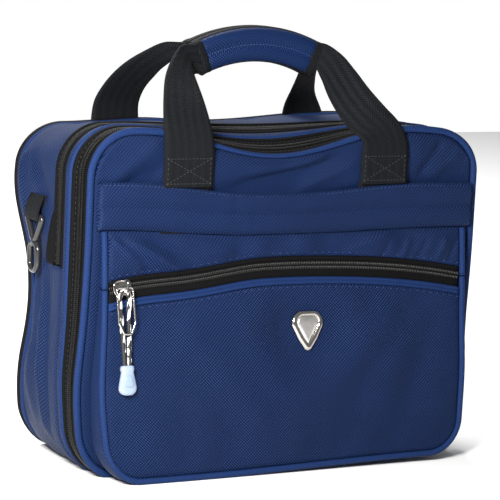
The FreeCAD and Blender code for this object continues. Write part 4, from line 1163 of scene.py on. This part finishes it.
def grips():
    """Two padded halves, each with a sewn middle line, black binding on both edges and wraps at its ends."""
    for word, side in (("front", -1), ("rear", 1)):
        count = 90
        angle = np.linspace(-GRIP_HALF_ANGLE, GRIP_HALF_ANGLE, count)
        end = np.minimum((angle + GRIP_HALF_ANGLE), (GRIP_HALF_ANGLE - angle)) * GRIP_ARC
        shape = np.sqrt(np.clip(1 - (1 - np.clip(end / 0.013, 0, 1)) ** 2, 0, 1))
        points, uvs = [], []
        for k in range(40):
            a = 2 * math.pi * k / 40
            up, deep = math.sin(a), -math.cos(a)
            deep01 = 0.5 + 0.5 * deep  # 0 at the middle plane, 1 outermost
            crease = 0.0026 * math.exp(-((up / 0.16) ** 2)) * (deep > 0)
            half = GRIP_HEIGHT / 2 * (0.80 + 0.20 * shape)
            y = 0.0006 + 0.0142 * deep01**0.8 * (0.45 + 0.55 * shape) - crease
            pucker = 0.0003 * np.sin(angle * GRIP_ARC / 0.0016 * math.pi)
            pucker = pucker * math.exp(-((up / 0.25) ** 2)) * (deep > 0)
            points.append(grip_point(angle, side * (y + pucker), np.sign(up) * abs(up) ** 0.72 * half))
            uvs.append(np.stack([angle * GRIP_ARC, np.full(count, k * 0.0021)], -1))
        piece = tube(f"{word}_grip_pad", points, uvs)
        finish_piece(piece, f"{word}_handle", "padded_grip", NAVY_SOFT, [f"{word}_grip"])
        middle = lambda a, b, h: grip_point(a, side * (0.0129 + h) + 0 * a, b)
        reach = GRIP_HALF_ANGLE * 0.93
        count = int(2 * reach * GRIP_ARC / STITCH_PITCH)
        frames = trace(middle, np.linspace(-reach, reach, count), 0.0, 0.0)
        stitches = beads(f"{word}_grip_stitches", frames, STITCH, 5)
        finish_piece(stitches, f"{word}_handle", "padded_grip", THREAD_NAVY)
        loops = []
        for k in range(12):
            a = 2 * math.pi * k / 12
            loops.append((0.0046 * math.cos(a) + 0.0048, 0.0021 * math.sin(a) + 0.0001))
        reach = GRIP_HALF_ANGLE * 0.99
        t = np.linspace(-reach, reach, 70)
        for place in ("top", "low"):
            way = 1 if place == "top" else -1
            edge = [grip_point(t, side * y, way * (GRIP_HEIGHT / 2 - 0.0008) + h) for y, h in loops]
            flat = [np.stack([t * GRIP_ARC, np.full_like(t, k * 0.001)], -1) for k in range(12)]
            binding = tube(f"{word}_grip_binding_{place}", edge, flat)
            finish_piece(binding, f"{word}_handle", "black_zip_tape", BLACK_PIPING)
        for hand, m in SIDES:
            wrap_at = m * (GRIP_HALF_ANGLE - 0.024)
            spans = np.linspace(wrap_at - 0.034, wrap_at + 0.034, 9)
            rings = []
            for k in range(28):
                a = 2 * math.pi * k / 28
                up = np.sign(math.sin(a)) * abs(math.sin(a)) ** 0.5 * (GRIP_HEIGHT / 2 + 0.0006)
                deep = 0.0078 - 0.0078 * np.sign(math.cos(a)) * abs(math.cos(a)) ** 0.6
                bulge = 0.0005 * np.cos((spans - wrap_at) / 0.034 * math.pi / 2)
                y = 0.0001 + deep * 0.93 + bulge * (deep > 0.006)
                rings.append(grip_point(spans, side * y, up + bulge))
            flat = [np.stack([np.full(9, k * 0.0035), spans * GRIP_ARC], -1) for k in range(28)]
            wrap = tube(f"{word}_grip_wrap_{hand}", rings, flat)
            finish_piece(wrap, f"{word}_handle", "black_webbing", WEBBING)


def side_tabs():
    """Each strap ring hangs from webbing folded over its bar: a closed profile extruded across its width."""
    top, radius, half_wall = 0.020, 0.0036, 0.0010
    line = [(-0.0040, top), (-0.0040, top * 0.5), (-0.0042, 0.006)]
    for degrees in range(175, 361, 15):
        a = math.radians(degrees)
        line.append((radius * math.cos(a), radius * math.sin(a)))
    line += [(0.0034, 0.005), (0.0020, 0.010), (-0.0002, 0.015), (-0.0016, top)]
    line = np.array(line)
    tangent = np.gradient(line, axis=0)
    tangent /= np.linalg.norm(tangent, axis=1, keepdims=True)
    normal = np.stack([tangent[:, 1], -tangent[:, 0]], 1)
    run = line_length(line)
    across = np.linspace(-0.0140, 0.0140, 9)
    for word, m in SIDES:
        bar = np.array([m * 0.2074, 0.022, 0.227])
        ux, up = np.array([m, 0, 0]), np.array([0, 0, 1.0])
        points, uvs = [], []
        for half, ys in ((half_wall, across), (-half_wall, across[::-1])):
            for y in ys:
                flat = line + normal * half
                points.append(bar + flat[:, :1] * ux + flat[:, 1:] * up + np.array([0, y, 0]))
                uvs.append(np.stack([run, np.full_like(run, y)], -1))
        piece = tube(f"ring_tab_{word}_cover", points, uvs)
        finish_piece(piece, "rear_section", "black_webbing", WEBBING, [f"ring_tab_{word}"])


# ------------------------------------------------------------------ badge
BADGE_CORNERS = [  # the circles that its outline wraps round: x, v, radius
    (-0.0064, 0.0068, 0.0104), (0.0064, 0.0068, 0.0104), (-0.0016, -0.0040, 0.0098),
    (0.0016, -0.0040, 0.0098), (0.0, -0.0146, 0.0048),
]
BADGE_SHIFT, BADGE_OUT, SMALLEST = 0.0026, 0.0029, 0.0002


def badge_ring(inset, rise, count=96):
    """One ring of the badge's dome: the rounded triangle drawn in by an inset, at a height off the cloth."""
    ring = []
    for k in range(count):
        a = 2 * math.pi * k / count
        ux, uv = math.cos(a), math.sin(a)
        x, v, r = max(BADGE_CORNERS, key=lambda c: c[0] * ux + c[1] * uv + max(c[2] - inset, SMALLEST))
        r = max(r - inset, SMALLEST)
        crown = 0.0012 * max(uv, 0) ** 4 * (1 - inset / 0.012)
        keep_in = -min(inset * 0.55, 0.006) if v < 0 else 0.0  # the lower corner comes up as the ring shrinks
        px = BADGE[0] + BADGE_SHIFT + x * (1 - inset * 40) + r * ux
        pv = BADGE[1] + v - keep_in + r * uv + crown
        out = BADGE_OUT + rise
        y = FOOT_Y - out * math.cos(TILT) + pv * math.sin(TILT)
        ring.append((px, y, out * math.sin(TILT) + pv * math.cos(TILT)))
    return ring


def badge_pieces():
    """Domed rim and blank plate, each as rings of (inset, rise)."""
    bezel = [
        (0.0, 0.0), (0.0001, 0.0012), (0.0006, 0.0021), (0.0015, 0.0029), (0.0026, 0.0032), (0.0037, 0.0029),
        (0.0044, 0.0022), (0.0047, 0.0013), (0.0047, 0.0006),
    ]
    plate = [
        (0.0047, 0.0004), (0.0048, 0.0013), (0.0052, 0.0018), (0.0060, 0.0021), (0.0075, 0.0023),
        (0.0098, 0.0024),
    ]
    for name, rows, slot, material in (
        ("badge_bezel", bezel, "nickel", NICKEL), ("badge_plate", plate, "satin_nickel", SATIN),
    ):
        piece = ringed(f"{name}_cover", [badge_ring(inset, rise) for inset, rise in rows])
        finish_piece(piece, "pocket_panel", slot, material, [name])


# ------------------------------------------------------------------ zip pulls
def pull_frame(name):
    """Origin and axes (across, out, up) of a pull."""
    if name == "pocket_zip":
        up = np.array([0, math.sin(TILT), math.cos(TILT)])
        origin = np.array([-0.168, -0.088338, 0.176828])
        return origin, np.array([1.0, 0, 0]), np.array([0, -up[2], up[1]]), up
    y, z = {"main_zip": (MAIN_ZIP_Y, 0.200), "expander_zip": (EXPANDER_ZIP_Y, 0.130)}[name]
    return np.array([0.2097, y, z]), np.array([0, 1.0, 0]), np.array([1.0, 0, 0]), np.array([0, 0, 1.0])


CORD_ROUTE = [
    (-0.0025, 0.0016, -0.0700),
    (-0.0027, 0.0012, -0.0580),
    (-0.0033, 0.0004, -0.0450),
    (-0.0034, -0.0004, -0.0310),
    (-0.0046, -0.0008, -0.0180),
    (-0.0050, -0.0006, -0.0090),
    (-0.0032, -0.0002, -0.0040),
    (0.0, 0.0, -0.0028),
    (0.0032, -0.0002, -0.0040),
    (0.0050, -0.0006, -0.0090),
    (0.0045, -0.0009, -0.0180),
    (0.0033, -0.0005, -0.0310),
    (0.0034, 0.0003, -0.0450),
    (0.0028, 0.0012, -0.0580),
    (0.0025, 0.0016, -0.0700),
]
CORD_LENGTH, CORD_DIAMETER = 0.139, 0.0042


def pull_pieces(name):
    """The doubled cord of a pull, one open spline, and its tip."""
    origin, across, out, up = pull_frame(name)
    body = f"{name}_pull"

    def place(x, o, z):
        return origin + across * x + out * o + up * z

    curve = bpy.data.curves.new(f"{name}_cord_run", "CURVE")
    curve.dimensions = "3D"
    spline = curve.splines.new("NURBS")
    route = [place(*point) for point in CORD_ROUTE]
    spline.points.add(len(route) - 1)
    for point, at in zip(spline.points, route):
        point.co = (*at, 1.0)
    spline.order_u = 3
    spline.use_endpoint_u = True
    spline.resolution_u = 10
    curve.bevel_depth = CORD_DIAMETER / 2
    curve.bevel_resolution = 4
    cord = bpy.data.objects.new(f"{name}_cord_run", curve)
    bpy.context.collection.objects.link(cord)
    curve.materials.append(CORD)
    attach(cord, body)
    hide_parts(f"{name}_pull_cord")
    tip = moulded_tip(name, place, body)
    tuple(route[0])


def moulded_tip(name, place, body):
    """The soft tip: round where the cord goes in, a raised collar, and a flared flat end."""
    levels = [  # z, half width, half depth
        (-0.0690, 0.0042, 0.0028), (-0.0696, 0.0058, 0.0036), (-0.0712, 0.0064, 0.0040),
        (-0.0735, 0.0065, 0.0040), (-0.0745, 0.0059, 0.0035), (-0.0760, 0.0060, 0.0035),
        (-0.0800, 0.0069, 0.0036), (-0.0850, 0.0080, 0.0037), (-0.0885, 0.0087, 0.0036),
        (-0.0910, 0.0086, 0.0034), (-0.0930, 0.0076, 0.0031), (-0.0945, 0.0060, 0.0026),
        (-0.0955, 0.0042, 0.0019),
    ]
    centre_out = 0.0014
    rows = []
    for z, wide, deep in levels:
        ring = []
        for k in range(32):
            a = 2 * math.pi * k / 32
            c, s = (np.sign(k) * abs(k) ** 0.75 for k in (math.cos(a), math.sin(a)))
            ring.append(place(wide * c, centre_out + deep * s, z))
        rows.append(ring)
    tip = ringed(f"{name}_tip_cover", rows)
    finish_piece(tip, body, "clear_tip", MILKY, [f"{name}_pull_tip"])
    pad_levels = [
        (-0.0775, 0.0006, 0.0034), (-0.0782, 0.0028, 0.0040), (-0.0800, 0.0036, 0.0043),
        (-0.0840, 0.0046, 0.0044), (-0.0872, 0.0050, 0.0042), (-0.0885, 0.0030, 0.0037),
    ]
    rows = []
    for z, wide, deep in pad_levels:
        ring = []
        for a in np.linspace(0, 2 * math.pi, 16, endpoint=False):
            raised = deep * (0.85 + 0.15 * math.sin(a)) * (1 if math.sin(a) > 0 else 0.8)
            ring.append(place(wide * math.cos(a), centre_out + raised, z))
        rows.append(ring)
    finish_piece(ringed(f"{name}_tip_pad", rows), body, "clear_tip", MILKY)
    return tip


# ------------------------------------------------------------------ inside
PEN_LOOPS = 3


def inner_sheet(name, node, depth, wall, relief, margin):
    """A sheet of lining in the place of a node; depth gives y from the node's front side and a height."""
    low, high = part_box(node)
    inset = 0.001
    surface = lambda x, v, h: np.stack([x, depth(low[1], h) + 0 * x, v + 0 * x], -1)
    bottom, top = (lambda x: np.full_like(x, low[2] + inset)), (lambda x: np.full_like(x, high[2] - inset))
    return slab(name, surface, (low[0] + inset, high[0] - inset), bottom, top, wall, relief, 70, 50, margin)


def inside_pieces():
    """Laptop sleeve, organizer panel and pen loops."""
    quilt = lambda x, v, fx, fv: (
        0.0024 * hump((fx - 0.5) * 1.9) * hump((fv - 0.5) * 1.9) + 0.0008 * grain(x, v, 20.0, 3.0)
    )
    ripple = lambda x, v, fx, fv: 0.0006 * hump((fx - 0.5) * 1.9) + 0.0005 * grain(x, v, 26.0, 5.0)
    sleeve_wall, organizer_wall = 0.0022, 0.0021
    facing_front = lambda y, h: y + sleeve_wall - h
    facing_back = lambda y, h: y + h
    sleeve = inner_sheet("sleeve_cover", "laptop_sleeve", facing_front, sleeve_wall, quilt, 0.01)
    finish_piece(sleeve, "rear_section", "lining_fabric", LINING)
    organizer = inner_sheet("organizer_cover", "organizer_panel", facing_back, organizer_wall, ripple, 0.008)
    finish_piece(organizer, "front_section", "lining_fabric", LINING, ["organizer_panel"])

    low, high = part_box("pen_loops")
    radius, middle = (high[1] - low[1]) / 2, (low[1] + high[1]) / 2
    rings = [
        (radius - 0.0009, low[2]), (radius, low[2]), (radius + 0.0001, (low[2] + high[2]) / 2),
        (radius, high[2]), (radius - 0.0009, high[2]),
    ]
    turn = np.linspace(0, 2 * math.pi, 40, endpoint=False)
    for k in range(PEN_LOOPS):
        across = low[0] + radius + (high[0] - low[0] - 2 * radius) * k / (PEN_LOOPS - 1)
        rows = [
            [(across + radial * math.cos(a), middle + radial * math.sin(a), level) for a in turn]
            for radial, level in rings
        ]
        loop = ringed(f"pen_loop_{k}", rows + [rows[0]])
        finish_piece(loop, "front_section", "lining_fabric", LINING, ["pen_loops"])


# ------------------------------------------------------------------ looks for the carried-over nodes
ZIPS = ("main_zip", "expander_zip", "pocket_zip")
NODE_LOOKS = {"bottom_board": BOARD, "laptop_sleeve": LINING}
for zip_name in ZIPS:
    NODE_LOOKS[f"{zip_name}_slider"] = NODE_LOOKS[f"{zip_name}_pull_link"] = NICKEL


def swollen_ring(word):
    """The moulded ring, thicker and softer than its plain bars."""
    source = bpy.data.objects[f"strap_ring_{word}"]
    build = bmesh.new()
    build.from_mesh(source.data)
    build.transform(source.matrix_world)
    bmesh.ops.remove_doubles(build, verts=build.verts, dist=0.00002)
    bmesh.ops.recalc_face_normals(build, faces=build.faces)
    build.normal_update()
    for vertex in build.verts:
        vertex.co += vertex.normal * 0.0008
    mesh = bpy.data.meshes.new(f"strap_ring_{word}_cover")
    build.to_mesh(mesh)
    build.free()
    ring = bpy.data.objects.new(mesh.name, mesh)
    bpy.context.collection.objects.link(ring)
    finish_piece(ring, f"strap_ring_{word}", "black_moulding", MOULDED, [f"strap_ring_{word}"])


def carried_looks():
    """Materials for the CAD's nodes that no piece stands for."""
    for obj in list(bpy.context.scene.objects):
        look = NODE_LOOKS.get(obj.name)
        if look and obj.type == "MESH":
            obj.data.materials.clear()
            obj.data.materials.append(look)


rear_pieces()
lower_gusset()
zips()
middle_pieces()
front_pieces()
pocket_pieces()
straps()
grips()
side_tabs()
badge_pieces()
for zip_name in ZIPS:
    pull_pieces(zip_name)
inside_pieces()
for side_word, _ in SIDES:
    swollen_ring(side_word)
carried_looks()


# ------------------------------------------------------------------ floor, light and camera
def area_light(name, location, target, size, energy, colour):
    """A round lamp that faces a target."""
    data = bpy.data.lights.new(name, "AREA")
    data.shape = "DISK"
    data.size = size
    data.energy = energy
    data.color = colour
    lamp = bpy.data.objects.new(name, data)
    bpy.context.collection.objects.link(lamp)
    lamp.location = location
    lamp.rotation_euler = (Vector(target) - Vector(location)).to_track_quat("-Z", "Y").to_euler()


def set_stage():
    """Floor, two lamps, and a world that lights softly and looks white behind the floor's far edge."""
    world = bpy.data.worlds.new("studio")
    world.use_nodes = True
    nodes, links = world.node_tree.nodes, world.node_tree.links
    soft_light = nodes["Background"]
    soft_light.inputs["Color"].default_value = (1, 1, 1, 1)
    soft_light.inputs["Strength"].default_value = 0.26
    pale_wall = nodes.new("ShaderNodeBackground")
    pale_wall.inputs["Color"].default_value = (1, 1, 1, 1)
    pale_wall.inputs["Strength"].default_value = 1.0
    seen = nodes.new("ShaderNodeLightPath")
    either = nodes.new("ShaderNodeMixShader")
    links.new(seen.outputs["Is Camera Ray"], either.inputs[0])
    links.new(soft_light.outputs[0], either.inputs[1])
    links.new(pale_wall.outputs[0], either.inputs[2])
    links.new(either.outputs[0], nodes["World Output"].inputs["Surface"])
    bpy.context.scene.world = world
    area_light("key", (-0.76, -0.78, 0.64), (-0.04, 0, 0.15), 0.34, 33, (1.0, 0.99, 0.97))
    area_light("top", (0.1, 1.6, 2.3), (0, 1.1, 0.2), 1.6, 95, (1, 1, 1))
    floor_material, _, shader = new_material("pale_floor", Roughness=0.7)
    shader.inputs["Base Color"].default_value = (0.93, 0.93, 0.93, 1)
    mesh = bpy.data.meshes.new("floor")
    reach, far = 6, 2.6
    corners = [(-reach, -reach, 0), (reach, -reach, 0), (reach, far, 0), (-reach, far, 0)]
    mesh.from_pydata(corners, [], [(0, 1, 2, 3)])
    floor = bpy.data.objects.new("floor", mesh)
    bpy.context.collection.objects.link(floor)
    mesh.materials.append(floor_material)


def set_camera():
    """The camera stands to the left of the front and a little above, slightly rolled."""
    azimuth, elevation, roll = (math.radians(degrees) for degrees in (-29.0, 9.2, 2.7))
    distance = 2.45
    target = Vector((0, 0, 0.1575))
    back_way = Vector((
        math.sin(azimuth) * math.cos(elevation), -math.cos(azimuth) * math.cos(elevation), math.sin(elevation)
    ))
    right = Vector((math.cos(azimuth), math.sin(azimuth), 0))
    up = back_way.cross(right)
    right_rolled = right * math.cos(roll) + up * math.sin(roll)
    up_rolled = up * math.cos(roll) - right * math.sin(roll)
    data = bpy.data.cameras.new("camera")
    data.lens, data.sensor_width = 185.76, 36
    data.shift_x, data.shift_y = 0.0156, 0.0726
    camera = bpy.data.objects.new("camera", data)
    bpy.context.collection.objects.link(camera)
    turn = Matrix((right_rolled, up_rolled, back_way)).transposed().to_4x4()
    camera.matrix_world = Matrix.Translation(target + back_way * distance) @ turn
    bpy.context.scene.camera = camera


set_stage()
set_camera()
bpy.context.scene.view_settings.view_transform = "Standard"
